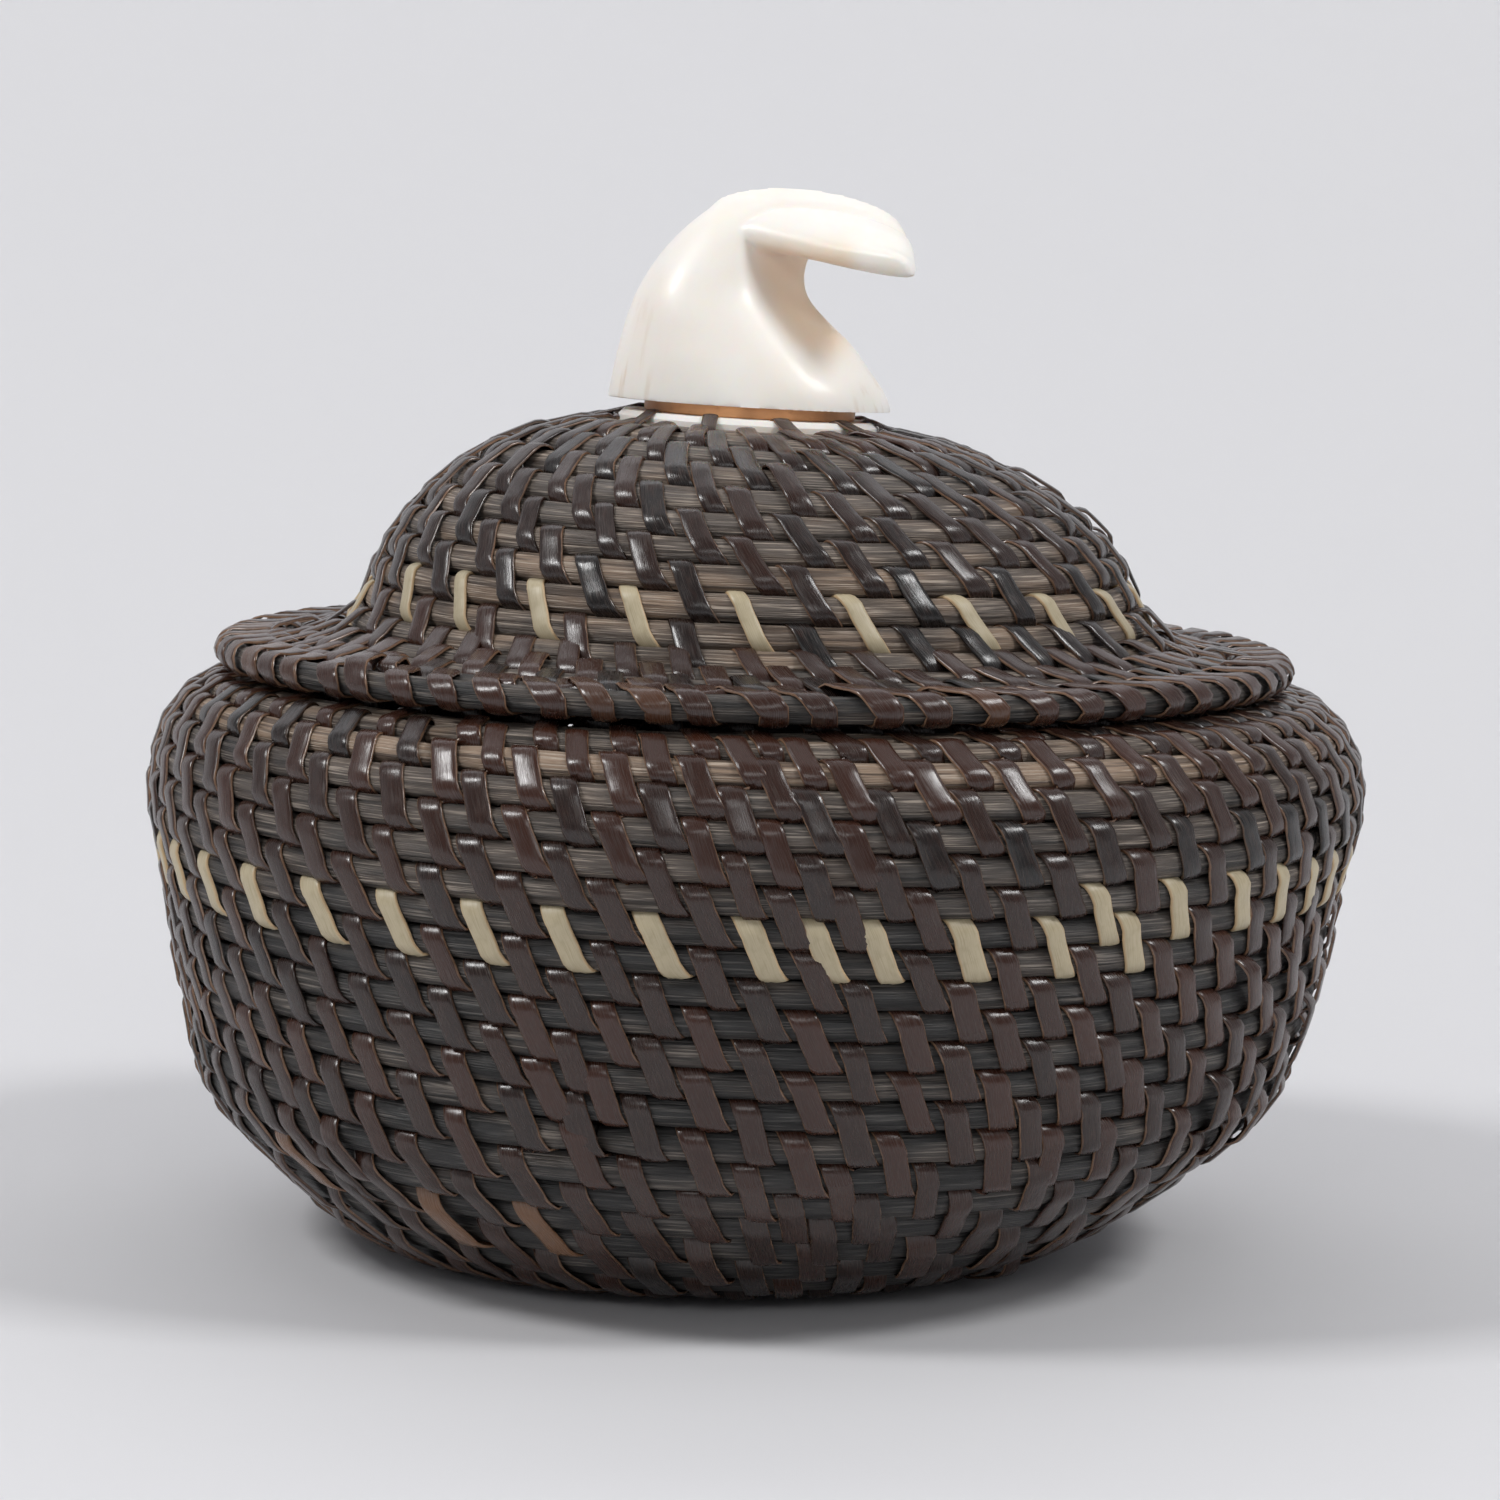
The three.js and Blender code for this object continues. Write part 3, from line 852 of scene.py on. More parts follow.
@dataclass
class Coil:
    """One long spiral of rods, with its growth counted in turns."""

    seed: float
    corners: list[tuple[float, float]]
    side: int
    turning: int
    start_angle: float
    start_pitch: float
    end_pitch: float
    blend_shares: tuple[float, float]
    wander: float
    hub: tuple[float, float] | None = None
    wander_beats: tuple[float, ...] = (1.015, 2.98, 5.03, 8.9)
    line: WallLine = field(init=False)
    edges: np.ndarray = field(init=False)

    def __post_init__(self) -> None:
        """Works out where the growing edge of the coil lies after each step."""
        self.line = WallLine(self.corners, self.side)
        length = self.line.length
        edges = [0.0]
        while edges[-1] < length:
            blend = smooth(length * self.blend_shares[0], length * self.blend_shares[1], edges[-1])
            pitch = self.start_pitch + (self.end_pitch - self.start_pitch) * float(blend)
            edges.append(edges[-1] + pitch / STEPS_PER_TURN)
        edges[-1] = length
        self.edges = np.array(edges)

    @property
    def turns(self) -> float:
        """How many turns the coil makes."""
        return (len(self.edges) - 1 + STEPS_PER_TURN) / STEPS_PER_TURN

    def angle(self, turns: np.ndarray | float) -> np.ndarray | float:
        """The angle round the axis after so many turns."""
        return math.radians(self.start_angle) + self.turning * 2 * math.pi * turns

    def bearing(self, turns: float) -> float:
        """The same angle in degrees, from 0 to 360."""
        return math.degrees(self.angle(turns)) % 360

    def row(self, turns: np.ndarray) -> Row:
        """Reads the rod's place in section.

        Args:
            turns: After how many turns it is read.

        Returns:
            The rod there.
        """
        steps = np.arange(len(self.edges))
        upper = np.interp(turns * STEPS_PER_TURN, steps, self.edges)
        lower = np.interp((turns - 1) * STEPS_PER_TURN, steps, self.edges)
        middle = (upper + lower) / 2
        middle = middle + self.wander * waver(turns, self.wander_beats, self.seed)
        along = self.line.along(middle)
        outward = np.stack([along[..., 1], -along[..., 0]], axis=-1) * self.side
        row = Row(self.line.at(middle), along, outward, (upper - lower) / 2)
        return row if self.hub is None else self.with_hub(row, turns)

    def with_hub(self, row: Row, turns: np.ndarray) -> Row:
        """Puts the disc's edge in the rod's place before the rod starts, for the first strips.

        Args:
            row: The rod, which is changed.
            turns: After how many turns it was read.

        Returns:
            The rod, or the disc's edge.
        """
        early = turns < ROD_START_TURN
        row.centre[early] = np.array(self.hub)
        row.along[early] = np.array([1.0, 0.0])
        row.outward[early] = np.array([0.0, -1.0]) * self.side
        row.half_width[early] = HOLE_INSET / 2 + ROD_CLEARANCE
        return row

    def space(self, place: np.ndarray, angle: np.ndarray) -> np.ndarray:
        """Carries radius, height and angle into the model's frame."""
        radius, height = place[..., 0], place[..., 1]
        return np.stack([radius * np.cos(angle), radius * np.sin(angle), height], axis=-1)

    def tones(self, turns: np.ndarray) -> np.ndarray:
        """How pale the rod is, from 0 for black to 1 for tan."""
        return np.full(np.shape(turns), 0.1)


def body_corners() -> list[tuple[float, float]]:
    """The bowl's outline over the strips, from the base's disc to the mouth.

    Returns:
        The radius and height of each corner.
    """
    wall_shares = [
        (0.235, 0.054), (0.431, 0.117), (0.608, 0.186), (0.737, 0.247), (0.82, 0.314), (0.856, 0.394),
        (0.894, 0.465), (0.922, 0.537), (0.939, 0.61), (0.965, 0.681), (0.993, 0.753), (1.0, 0.806),
        (0.986, 0.863), (0.958, 0.912), (0.905, 0.957),
    ]
    reach = BELLY_RADIUS - STAND_RADIUS
    wall = [(STAND_RADIUS + out * reach, up * RIM_HEIGHT) for out, up in wall_shares]
    start = [(BASE_DISC_RADIUS + TURN_GAP / 2, 0.0), (STAND_RADIUS, 0.0)]
    return [*start, *wall, (MOUTH_RADIUS + SHELF_WIDTH, RIM_HEIGHT), (MOUTH_RADIUS, RIM_HEIGHT)]


def lid_corners() -> list[tuple[float, float]]:
    """The lid's outline over the strips, from the disc out to the edge rod.

    Returns:
        The radius and height of each corner.
    """
    inner = LID_DISC_RADIUS + TURN_GAP / 2
    outer = FLANGE_RADIUS - EDGE_ROD_WIDTH - TURN_GAP / 2
    top = SEAT_HEIGHT + WALL_THICKNESS
    dome_shares = [
        (0.2, 0.96), (0.42, 0.885), (0.62, 0.785), (0.79, 0.652), (0.906, 0.522), (0.966, 0.405),
        (1.0, 0.305),
    ]
    flare_shares = [(0.107, 0.58), (0.31, 0.29), (0.576, 0.145), (1.0, 0.0)]
    dome_reach = DOME_RADIUS - inner
    dome = [(inner + out * dome_reach, SEAT_HEIGHT + up * LID_RISE) for out, up in dome_shares]
    foot = dome[-1][1] - top
    flare_reach = outer - DOME_RADIUS
    flare = [(DOME_RADIUS + out * flare_reach, top + up * foot) for out, up in flare_shares]
    return [(inner, CROWN_HEIGHT - DISC_BEVEL), *dome, *flare]


class BodyCoil(Coil):
    """The bowl's coil, which climbs clockwise from the base to the mouth."""

    def __init__(self) -> None:
        """Sets the coil's sizes."""
        super().__init__(
            seed=5.3,
            corners=body_corners(),
            side=1,
            turning=-1,
            start_angle=25.0,
            start_pitch=3.6,
            end_pitch=2.4,
            blend_shares=(0.35, 0.6),
            wander=0.10,
            hub=(BASE_DISC_RADIUS - HOLE_INSET / 2, BASE_DISC_THICKNESS / 2),
        )

    def space(self, place: np.ndarray, angle: np.ndarray) -> np.ndarray:
        """Shifts and sags the lowest rows to one side, and swells the shoulder on the other.

        Args:
            place: Radius and height.
            angle: The angle round the axis.

        Returns:
            The places in the model's frame.
        """
        points = super().space(place, angle)
        x, z = points[..., 0].copy(), points[..., 2].copy()
        points[..., 0] -= BASE_SHIFT * (1 - smooth(0, RIM_HEIGHT / 2, z))
        points[..., 0] += SHOULDER_SWELL * smooth(0.6, 0.9, z / RIM_HEIGHT) * smooth(0, BELLY_RADIUS, x)
        sag = HEEL_SAG + HEEL_SIDE_SAG * smooth(*HEEL_SIDE_RANGE, -x)
        points[..., 2] -= sag * smooth(0, HEEL_FOOT_HEIGHT, z) * (1 - smooth(*HEEL_TOP_RANGE, z))
        points[..., 2] = np.maximum(points[..., 2], 0.0)
        return points

    def tones(self, turns: np.ndarray) -> np.ndarray:
        """Reads the bowl's rods: black low down, grey-brown above the band, one tan row.

        Args:
            turns: After how many turns it is read.

        Returns:
            How pale the rod is, from 0 for black to 1 for tan.
        """
        places = [0, 9, 14, 18.0, 18.8, 20.5, 22.6, 22.8, 23.78, 23.86, 26]
        shades = [0.10, 0.10, 0.14, 0.17, 0.34, 0.42, 0.46, 0.95, 0.95, 0.60, 0.66]
        return np.interp(turns, places, shades)


class LidCoil(Coil):
    """The lid's coil, which runs out and down counter-clockwise from the disc to the flange."""

    def __init__(self) -> None:
        """Sets the coil's sizes."""
        super().__init__(
            seed=4.3,
            corners=lid_corners(),
            side=-1,
            turning=1,
            start_angle=LID_START_ANGLE,
            start_pitch=3.4,
            end_pitch=2.4,
            blend_shares=(0.25, 0.55),
            wander=0.07,
            hub=(LID_DISC_RADIUS - HOLE_INSET / 2, CROWN_HEIGHT - LID_DISC_THICKNESS / 2),
        )

    def space(self, place: np.ndarray, angle: np.ndarray) -> np.ndarray:
        """Shifts the rows a little to one side as they rise, and dips the upper ones on the other.

        Args:
            place: Radius and height.
            angle: The angle round the axis.

        Returns:
            The places in the model's frame.
        """
        points = super().space(place, angle)
        x, z = points[..., 0].copy(), points[..., 2].copy()
        leaning = smooth(CROWN_HEIGHT - LID_RISE / 2, CROWN_HEIGHT, z)
        points[..., 0] -= CROWN_SHIFT * smooth(SEAT_HEIGHT, CROWN_HEIGHT, z)
        points[..., 2] -= x * math.tan(CROWN_TILT) * leaning
        return points

    def tones(self, turns: np.ndarray) -> np.ndarray:
        """Reads the lid's rods: grey-tan on the dome and round the band, darker on the flange.

        Args:
            turns: After how many turns it is read.

        Returns:
            How pale the rod is, from 0 for black to 1 for tan.
        """
        places = [0, 4, 7, 8, 10.6, 11.6, 15]
        shades = [0.54, 0.58, 0.68, 0.78, 0.72, 0.44, 0.38]
        return np.interp(turns, places, shades)


class LipCoil(Coil):
    """The coil under the lid that drops into the mouth."""

    def __init__(self) -> None:
        """Sets the coil's sizes."""
        radius = MOUTH_RADIUS - LIP_CLEARANCE
        inner, outer = lid_corners()[-2:]
        share = (radius - WALL_THICKNESS / 2 - inner[0]) / (outer[0] - inner[0])
        underside = inner[1] + share * (outer[1] - inner[1]) - WALL_THICKNESS
        top = underside - SPLICE_GAP + TURN_GAP / 2
        super().__init__(
            seed=4.3,
            corners=[(radius, top), (radius, top - LIP_DEPTH)],
            side=-1,
            turning=1,
            start_angle=LID_START_ANGLE,
            start_pitch=2.4,
            end_pitch=2.4,
            blend_shares=(0.25, 0.55),
            wander=0.0,
        )


@dataclass
class RodDresser:
    """Makes the rods of a coil, each a little uneven along its length."""

    coil: Coil
    body: Body
    material: bpy.types.Material
    steps: int = 72
    facets: int = 16
    half_thickness: float = 0.90
    thinnest: float = 0.05
    unevenness: float = 0.035
    uneven_beats: tuple[float, ...] = (7.3, 13.1, 29.7)
    roundness: float = 0.8
    tip_share: float = 0.72
    tip_growth: float = 30.0
    grain_turn: float = 137.0

    def make_run(self, rods: tuple[tuple[str, float, Slot], ...]) -> None:
        """Makes a coil's rods in order, from where the coil starts.

        Args:
            rods: For each rod the solid that it stands for, how much of the coil is done where it
                ends, and its slot.
        """
        start = ROD_START_TURN
        for name, share, slot in rods:
            end = ROD_START_TURN + share * (self.coil.turns - ROD_TURNS_SHORT)
            self.make(f"{name}_dressed", start, end - ROD_END_TURNS, slot, name)
            start = end + ROD_END_TURNS

    def make(self, name: str, start: float, end: float, slot: Slot, *nodes: str) -> None:
        """Makes one rod.

        Args:
            name: Its name.
            start: Where it starts, in turns.
            end: Where it ends, in turns.
            slot: The record's slot for its finish.
            nodes: The solids that it stands for.
        """
        turns = np.linspace(start, end, max(int((end - start) * self.steps), 8))
        row = self.coil.row(turns)
        around = 2 * math.pi * np.arange(self.facets) / self.facets
        half = np.maximum(row.half_width - ROD_CLEARANCE, self.thinnest)
        uneven = 1 + self.unevenness * waver(turns, self.uneven_beats, 2.0)
        from_tip = np.minimum(turns - start, end - turns)
        taper = np.minimum(1.0, from_tip * self.tip_growth + self.tip_share)
        flat = np.sign(np.cos(around)) * np.abs(np.cos(around)) ** self.roundness
        deep = np.sign(np.sin(around)) * np.abs(np.sin(around)) ** self.roundness
        beside = np.outer(half * uneven * taper, flat)
        across = np.outer(self.half_thickness * uneven * taper, deep)
        place = row.centre[:, None, :] + row.along[:, None, :] * beside[..., None]
        place = place + row.outward[:, None, :] * across[..., None]
        angle = np.broadcast_to(self.coil.angle(turns)[:, None], place.shape[:2])
        rings = self.coil.space(place, angle)
        steps = np.linalg.norm(np.diff(rings[:, 0], axis=0), axis=1)
        lengths = np.concatenate([[0], np.cumsum(steps)]) + start * self.grain_turn
        tones = np.stack([self.coil.tones(turns)] * 3, axis=1)
        skin = Skin()
        skin.add_tube(rings, lengths, np.arange(self.facets + 1) / self.facets, tones)
        dress(skin.make(name, self.material), self.body, slot, *nodes)


# The strips


@dataclass
class Looks:
    """How strips look at a place on a coil, with their spacing, width and slant in millimetres."""

    turns: float
    spacing: float
    width: float
    slant: float
    brown: float
    loose: float


@dataclass
class Stitch:
    """One pass of a strip over two rods."""

    turns: float
    next_turns: float
    slant: float
    width: float
    loose: float
    tone: Colour


@dataclass(frozen=True)
class Band:
    """One turn of pale strips, which are slimmer and lie tighter than the dark ones."""

    start: float
    turns: float
    width_share: float
    loose_share: float

    def split(self, stitches: list[Stitch]) -> tuple[list[Stitch], list[Stitch]]:
        """Parts the pale stitches from the dark ones, and trims the pale ones.

        Args:
            stitches: All the stitches of a coil.

        Returns:
            The pale stitches and the dark ones.
        """
        end = self.start + self.turns
        pale = [stitch for stitch in stitches if self.start <= stitch.turns < end]
        dark = [stitch for stitch in stitches if not self.start <= stitch.turns < end]
        for stitch in pale:
            stitch.width *= self.width_share
            stitch.loose *= self.loose_share
        return pale, dark


@dataclass(frozen=True)
class ProudPatch:
    """Where strips stand proud of the rods, on the right, and by how much."""

    first_turn: float
    last_turn: float
    from_bearing: float
    to_bearing: float
    growth: float
    lift: float
    limit: float

    def loosen(self, stitches: list[Stitch], coil: Coil) -> None:
        """Lets the stitches that lie in the patch stand proud.

        Args:
            stitches: The stitches of a coil, some of which are changed.
            coil: The coil.
        """
        for stitch in stitches:
            bearing = coil.bearing(stitch.turns)
            beside = bearing > self.from_bearing or bearing < self.to_bearing
            if self.first_turn < stitch.turns < self.last_turn and beside:
                stitch.loose = min(stitch.loose * self.growth + self.lift, self.limit)


@dataclass
class Sewing:
    """Lays out a coil's stitches row by row, each between two of the row before."""

    coil: Coil
    looks: list[Looks]
    first: list[float]
    end: float
    seed: int
    lean: float = 0.5
    extra_share: float = 1.22
    extra_spread: float = 0.05
    extra_stray: float = 0.12
    least_share: float = 0.5
    easing: float = 0.10
    stray: float = 0.16
    shortest_run: int = 5
    longest_run: int = 18
    hue_spread: float = 0.33
    tone_spread: float = 0.11
    edge_paleness: float = 0.45
    edge_warming: float = 0.4
    edge_spread: float = 0.25
    loose_shape: float = 1.3
    loose_scale: float = 0.75
    slant_spread: float = 0.10
    width_spread: float = 0.06

    def look(self, name: str, turns: float) -> float:
        """Reads one of the looks at a place."""
        places = [look.turns for look in self.looks]
        return float(np.interp(turns, places, [getattr(look, name) for look in self.looks]))

    def radius(self, turns: float) -> float:
        """The coil's radius at a place."""
        return float(self.coil.row(np.array([turns])).centre[0, 0])

    def places(self) -> list[float]:
        """Works out where each stitch starts.

        A stitch lies between two of the row before. Where the rows grow, an extra one fills a wide
        gap, and where they shrink, one that would crowd its neighbour is left out.

        Returns:
            Their places in turns.
        """
        rng = np.random.default_rng(self.seed)
        places = list(self.first)
        parent = 0
        while parent + 1 < len(places):
            gap = places[parent + 1] - places[parent]
            child = 1 + places[parent] + self.lean * gap
            if child > self.end:
                break
            step = 2 * math.pi * self.radius(child)
            target = self.look("spacing", child) / step
            since = child - places[-1]
            if since > target * (self.extra_share + rng.normal(0, self.extra_spread)):
                places.append(places[-1] + since * 0.5 + rng.normal(0, self.extra_stray) / step)
                since = child - places[-1]
            if since > self.least_share * target:
                eased = child - self.easing * (since - target) + rng.normal(0, self.stray) / step
                places.append(eased)
            parent += 1
        return places

    def stitches(self) -> list[Stitch]:
        """Works out the whole coil's stitches, in runs that share one strip's colour.

        Returns:
            The stitches, in the order that they are sewn.
        """
        rng = np.random.default_rng(self.seed + 1)
        places = self.places()
        made = []
        left = 0
        hue = 0.5
        for place, after in zip(places, places[1:]):
            if left == 0:
                left = int(rng.integers(self.shortest_run, self.longest_run + 1))
                hue = float(np.clip(rng.normal(self.look("brown", place), self.hue_spread), 0, 1))
            left -= 1
            brownness = float(np.clip(hue + rng.normal(0, self.tone_spread), 0, 1))
            edge = self.edge_paleness + self.edge_warming * hue
            paleness = float(np.clip(rng.normal(edge, self.edge_spread), 0, 1))
            lift = float(rng.gamma(self.loose_shape, self.loose_scale))
            loose = min(self.look("loose", place) * lift, 1.0)
            slant = self.look("slant", place) * float(rng.normal(1, self.slant_spread))
            width = self.look("width", place) * float(rng.normal(1, self.width_spread))
            made.append(Stitch(place, after, slant, width, loose, (brownness, paleness, 0.0)))
        return made


@dataclass
class StripMaker:
    """Bends strips round pairs of rods."""

    coil: Coil
    body: Body
    downward: bool
    thickness: float = 0.27
    reach: float = 0.90
    dip: float = 0.05
    skim: float = 0.03
    least_half: float = 0.2
    slant_power: float = 1.3
    grain_turn: float = 91.7

    # Degrees round the first rod, shares of the way across, and degrees round the last rod
    first_angles: tuple[float, ...] = (120, 98, 78, 60, 42, 24, 8)
    crossing_shares: tuple[float, ...] = (0.18, 0.4, 0.6, 0.82)
    last_angles: tuple[float, ...] = (8, 28, 48, 68, 90)
    # Degrees round the last rod and then round the first, on the way back inside
    last_return_angles: tuple[float, ...] = (116, 145, 172)
    first_return_angles: tuple[float, ...] = (172, 145, 130)
    # Across the strip in widths and through it in thicknesses, from the left edge's underside
    section_shares: tuple[tuple[float, float], ...] = (
        (-0.5, -0.5), (-0.5, 0.0), (-0.45, 0.3), (-0.3, 0.5), (0.0, 0.62), (0.3, 0.5), (0.45, 0.3),
        (0.5, 0.0), (0.5, -0.5),
    )

    def pair(self, turns: np.ndarray) -> tuple[Row, Row]:
        """The rods that a strip starts over and ends under."""
        newer, older = self.coil.row(np.maximum(turns, ROD_START_TURN)), self.coil.row(turns - 1)
        return (older, newer) if self.downward else (newer, older)

    def route(self) -> tuple[np.ndarray, np.ndarray, np.ndarray]:
        """The way round the two rods, outside and then back inside.

        Returns:
            For each place on it the share of the way between the rods, the angle round the rod, and
            whether it lies inside.
        """
        outside = [(0.0, angle) for angle in np.radians(self.first_angles)]
        outside += [(share, 0.0) for share in self.crossing_shares]
        outside += [(1.0, -angle) for angle in np.radians(self.last_angles)]
        inside = [(1.0, -angle) for angle in np.radians(self.last_return_angles)]
        inside.append((0.5, math.pi))
        inside += [(0.0, angle) for angle in np.radians(self.first_return_angles)]
        legs = np.array(outside + inside)
        return legs[:, 0], legs[:, 1], np.arange(len(legs)) >= len(outside)

    def rings(self, stitch: Stitch) -> tuple[np.ndarray, np.ndarray]:
        """The strip's rings for one stitch.

        Args:
            stitch: The stitch.

        Returns:
            Its rings, and how far along the strip each one lies.
        """
        between, around, inside = self.route()
        outer_count = int((~inside).sum())
        inner_count = int(inside.sum())
        depth = np.concatenate([np.linspace(0, 1, outer_count), np.ones(inner_count)])
        climb = np.concatenate([np.zeros(outer_count), np.linspace(0, 1, inner_count + 1)[1:]])
        climb = smooth(0.0, 1.0, climb)
        radius = float(self.coil.row(np.full(1, stitch.turns)).centre[0, 0])
        from_angle = self.coil.angle(stitch.turns)
        swing = stitch.slant / radius
        back = self.coil.angle(stitch.next_turns) - from_angle - swing
        angle = from_angle + swing * depth**self.slant_power + back * climb
        turns = (angle - math.radians(self.coil.start_angle)) / (self.coil.turning * 2 * math.pi)
        first, last = self.pair(turns)
        gap = first.centre - last.centre
        up = gap / np.maximum(np.linalg.norm(gap, axis=1, keepdims=True), TINY)
        out = np.stack([up[:, 1], -up[:, 0]], axis=1)
        facing = np.sum(out * (first.outward + last.outward), axis=1, keepdims=True)
        out = out * np.where(facing < 0, -1.0, 1.0)
        clear = self.thickness / 2 + self.skim
        half = np.where(between < 0.5, first.half_width, last.half_width) - ROD_CLEARANCE
        half = np.maximum(half, self.least_half) + clear
        proud = stitch.loose * np.sin(math.pi * depth) * ~inside
        dip = self.dip * 4 * between * (1 - between) * ~inside
        reach = self.reach + clear + proud - dip
        centre = first.centre * (1 - between[:, None]) + last.centre * between[:, None]
        beside, before = np.sin(around)[:, None], np.cos(around)[:, None]
        half, reach = half[:, None], reach[:, None]
        place = centre + up * beside * half + out * before * reach
        normal = up * beside * reach + out * before * half
        normal /= np.linalg.norm(normal, axis=1, keepdims=True)
        return self.sweep(place, normal, angle, stitch)

    def sweep(
        self, place: np.ndarray, normal: np.ndarray, angle: np.ndarray, stitch: Stitch
    ) -> tuple[np.ndarray, np.ndarray]:
        """Sweeps the strip's section along its path.

        Args:
            place: The path's radius and height.
            normal: The way that the strip faces, in section.
            angle: The path's angle round the axis.
            stitch: The stitch.

        Returns:
            The rings, and how far along the strip each one lies.
        """
        path = self.coil.space(place, angle)
        sideways = [normal[:, 0] * np.cos(angle), normal[:, 0] * np.sin(angle)]
        facing = np.stack([*sideways, normal[:, 1]], axis=1)
        along = np.gradient(path, axis=0)
        along /= np.maximum(np.linalg.norm(along, axis=1, keepdims=True), TINY)
        beside = np.cross(along, facing)
        beside /= np.maximum(np.linalg.norm(beside, axis=1, keepdims=True), TINY)
        facing = np.cross(beside, along)
        section = np.array(self.section_shares)
        wide = section[:, 0] * stitch.width
        thick = section[:, 1] * self.thickness
        rings = path[:, None, :] + beside[:, None, :] * wide[None, :, None]
        rings = rings + facing[:, None, :] * thick[None, :, None]
        steps = np.linalg.norm(np.diff(path, axis=0), axis=1)
        lengths = np.concatenate([[0], np.cumsum(steps)])
        return rings, lengths + stitch.turns * self.grain_turn

    def make(
        self, name: str, stitches: list[Stitch], material: bpy.types.Material, slot: Slot
    ) -> None:
        """Makes one piece of many stitches.

        Args:
            name: Its name.
            stitches: Its stitches.
            material: Its material.
            slot: The record's slot for its finish.
        """
        corners = len(self.section_shares)
        across = np.array([place + 0.5 for place, _ in self.section_shares] + [0.0])
        skin = Skin()
        for stitch in stitches:
            rings, lengths = self.rings(stitch)
            tones = np.tile(np.array(stitch.tone), (len(rings), 1))
            skin.add_tube(rings, lengths, across, tones, (0, corners - 1))
        dress(skin.make(name, material), self.body, slot)

    def make_stretches(
        self,
        stretches: tuple[tuple[str, float, float], ...],
        stitches: list[Stitch],
        material: bpy.types.Material,
    ) -> None:
        """Makes dark strips in a few pieces.

        Args:
            stretches: Each piece's name, and the turns that it lies between.
            stitches: The stitches of all the pieces.
            material: Their material.
        """
        for name, low, high in stretches:
            chosen = [stitch for stitch in stitches if low <= stitch.turns < high]
            self.make(name, chosen, material, Slot.BLACK)


# The bowl


@dataclass
class Bowl:
    """The basket's body: its rods and its strips."""

    wardrobe: Wardrobe
    coil: BodyCoil = field(default_factory=BodyCoil)
    first_strip: float = 0.52
    base_holes: int = 14
    last_turns: float = 0.12
    seed: int = 11
    band: Band = Band(start=18.22, turns=1.02, width_share=0.97, loose_share=0.4)
    proud: ProudPatch = ProudPatch(
        first_turn=11, last_turn=17.6, from_bearing=318, to_bearing=25, growth=4, lift=0.15, limit=0.85
    )
    amber_share: float = 0.75

    # Each rod's solid, how much of the coil is done where it ends, and its slot
    rods: tuple[tuple[str, float, Slot], ...] = (
        ("base_rod", 0.13, Slot.BLACK),
        ("heel_rod", 0.27, Slot.BLACK),
        ("lower_wall_rod", 0.42, Slot.BLACK),
        ("middle_wall_rod", 0.58, Slot.BLACK),
        ("band_rod", 0.76, Slot.BLACK),
        ("upper_wall_rod", 0.886, Slot.GREY),
        ("tan_shoulder_rod", 0.925, Slot.TAN),
        ("rim_rod", 1.0, Slot.GREY),
    )
    # Each piece of dark strips, and the turns that it lies between
    stretches: tuple[tuple[str, float, float], ...] = (
        ("base_strips", 0, 9),
        ("lower_wall_strips", 9, 15),
        ("upper_wall_strips", 15, 21),
        ("shoulder_strips", 21, 30),
    )
    # The first and last turn and the first and last bearing of each patch of amber strips
    amber_patches: tuple[tuple[float, float, float, float], ...] = (
        (9.2, 10.1, 214, 221), (8.3, 9.3, 230, 237), (8.2, 9.2, 241, 249),
    )

    def looks(self) -> list[Looks]:
        """How the strips change from the base to the mouth.

        Returns:
            The looks, in the order of the turns.
        """
        return [
            Looks(0.5, 6.0, 1.8, 1.9, 0.4, 0.03),
            Looks(4.0, 7.4, 1.95, 2.4, 0.45, 0.10),
            Looks(7.0, 8.0, 2.05, 2.9, 0.5, 0.16),
            Looks(9.5, 8.3, 2.05, 3.0, 0.62, 0.12),
            Looks(12.0, 7.9, 2.0, 3.0, 0.72, 0.08),
            Looks(15.0, 7.0, 1.95, 3.0, 0.72, 0.05),
            Looks(18.0, 6.9, 1.9, 2.95, 0.6, 0.04),
            Looks(19.6, 6.9, 1.9, 2.9, 0.25, 0.04),
            Looks(22.6, 6.9, 1.9, 2.7, 0.3, 0.04),
            Looks(23.4, 6.9, 1.9, 2.6, 0.8, 0.05),
            Looks(24.2, 6.9, 1.85, 2.2, 0.55, 0.04),
            Looks(26.0, 6.8, 1.85, 1.8, 0.3, 0.04),
        ]

    def stain(self, stitches: list[Stitch]) -> None:
        """Leaves a few amber strips low on the left.

        Args:
            stitches: The dark stitches, some of which are changed.
        """
        for stitch in stitches:
            bearing = self.coil.bearing(stitch.turns)
            for low, high, left, right in self.amber_patches:
                if low < stitch.turns < high and left < bearing < right:
                    stitch.tone = (stitch.tone[0], stitch.tone[1], self.amber_share)

    def make_strips(self) -> None:
        """Sews the whole coil, with one turn of pale strips."""
        first = [self.first_strip + index / self.base_holes for index in range(self.base_holes + 1)]
        sewing = Sewing(self.coil, self.looks(), first, self.coil.turns - self.last_turns, self.seed)
        stitches = sewing.stitches()
        pale, dark = self.band.split(stitches)
        self.proud.loosen(dark, self.coil)
        self.stain(dark)
        maker = StripMaker(self.coil, Body.BASKET, False)
        maker.make_stretches(self.stretches, dark, self.wardrobe.strip)
        maker.make("wall_band_strips", pale, self.wardrobe.pale, Slot.TAN)
        LOG.info("bowl: %d stitches, %d of them pale", len(stitches), len(pale))

    def make(self) -> None:
        """Makes the bowl."""
        RodDresser(self.coil, Body.BASKET, self.wardrobe.rod).make_run(self.rods)
        self.make_strips()


# The lid


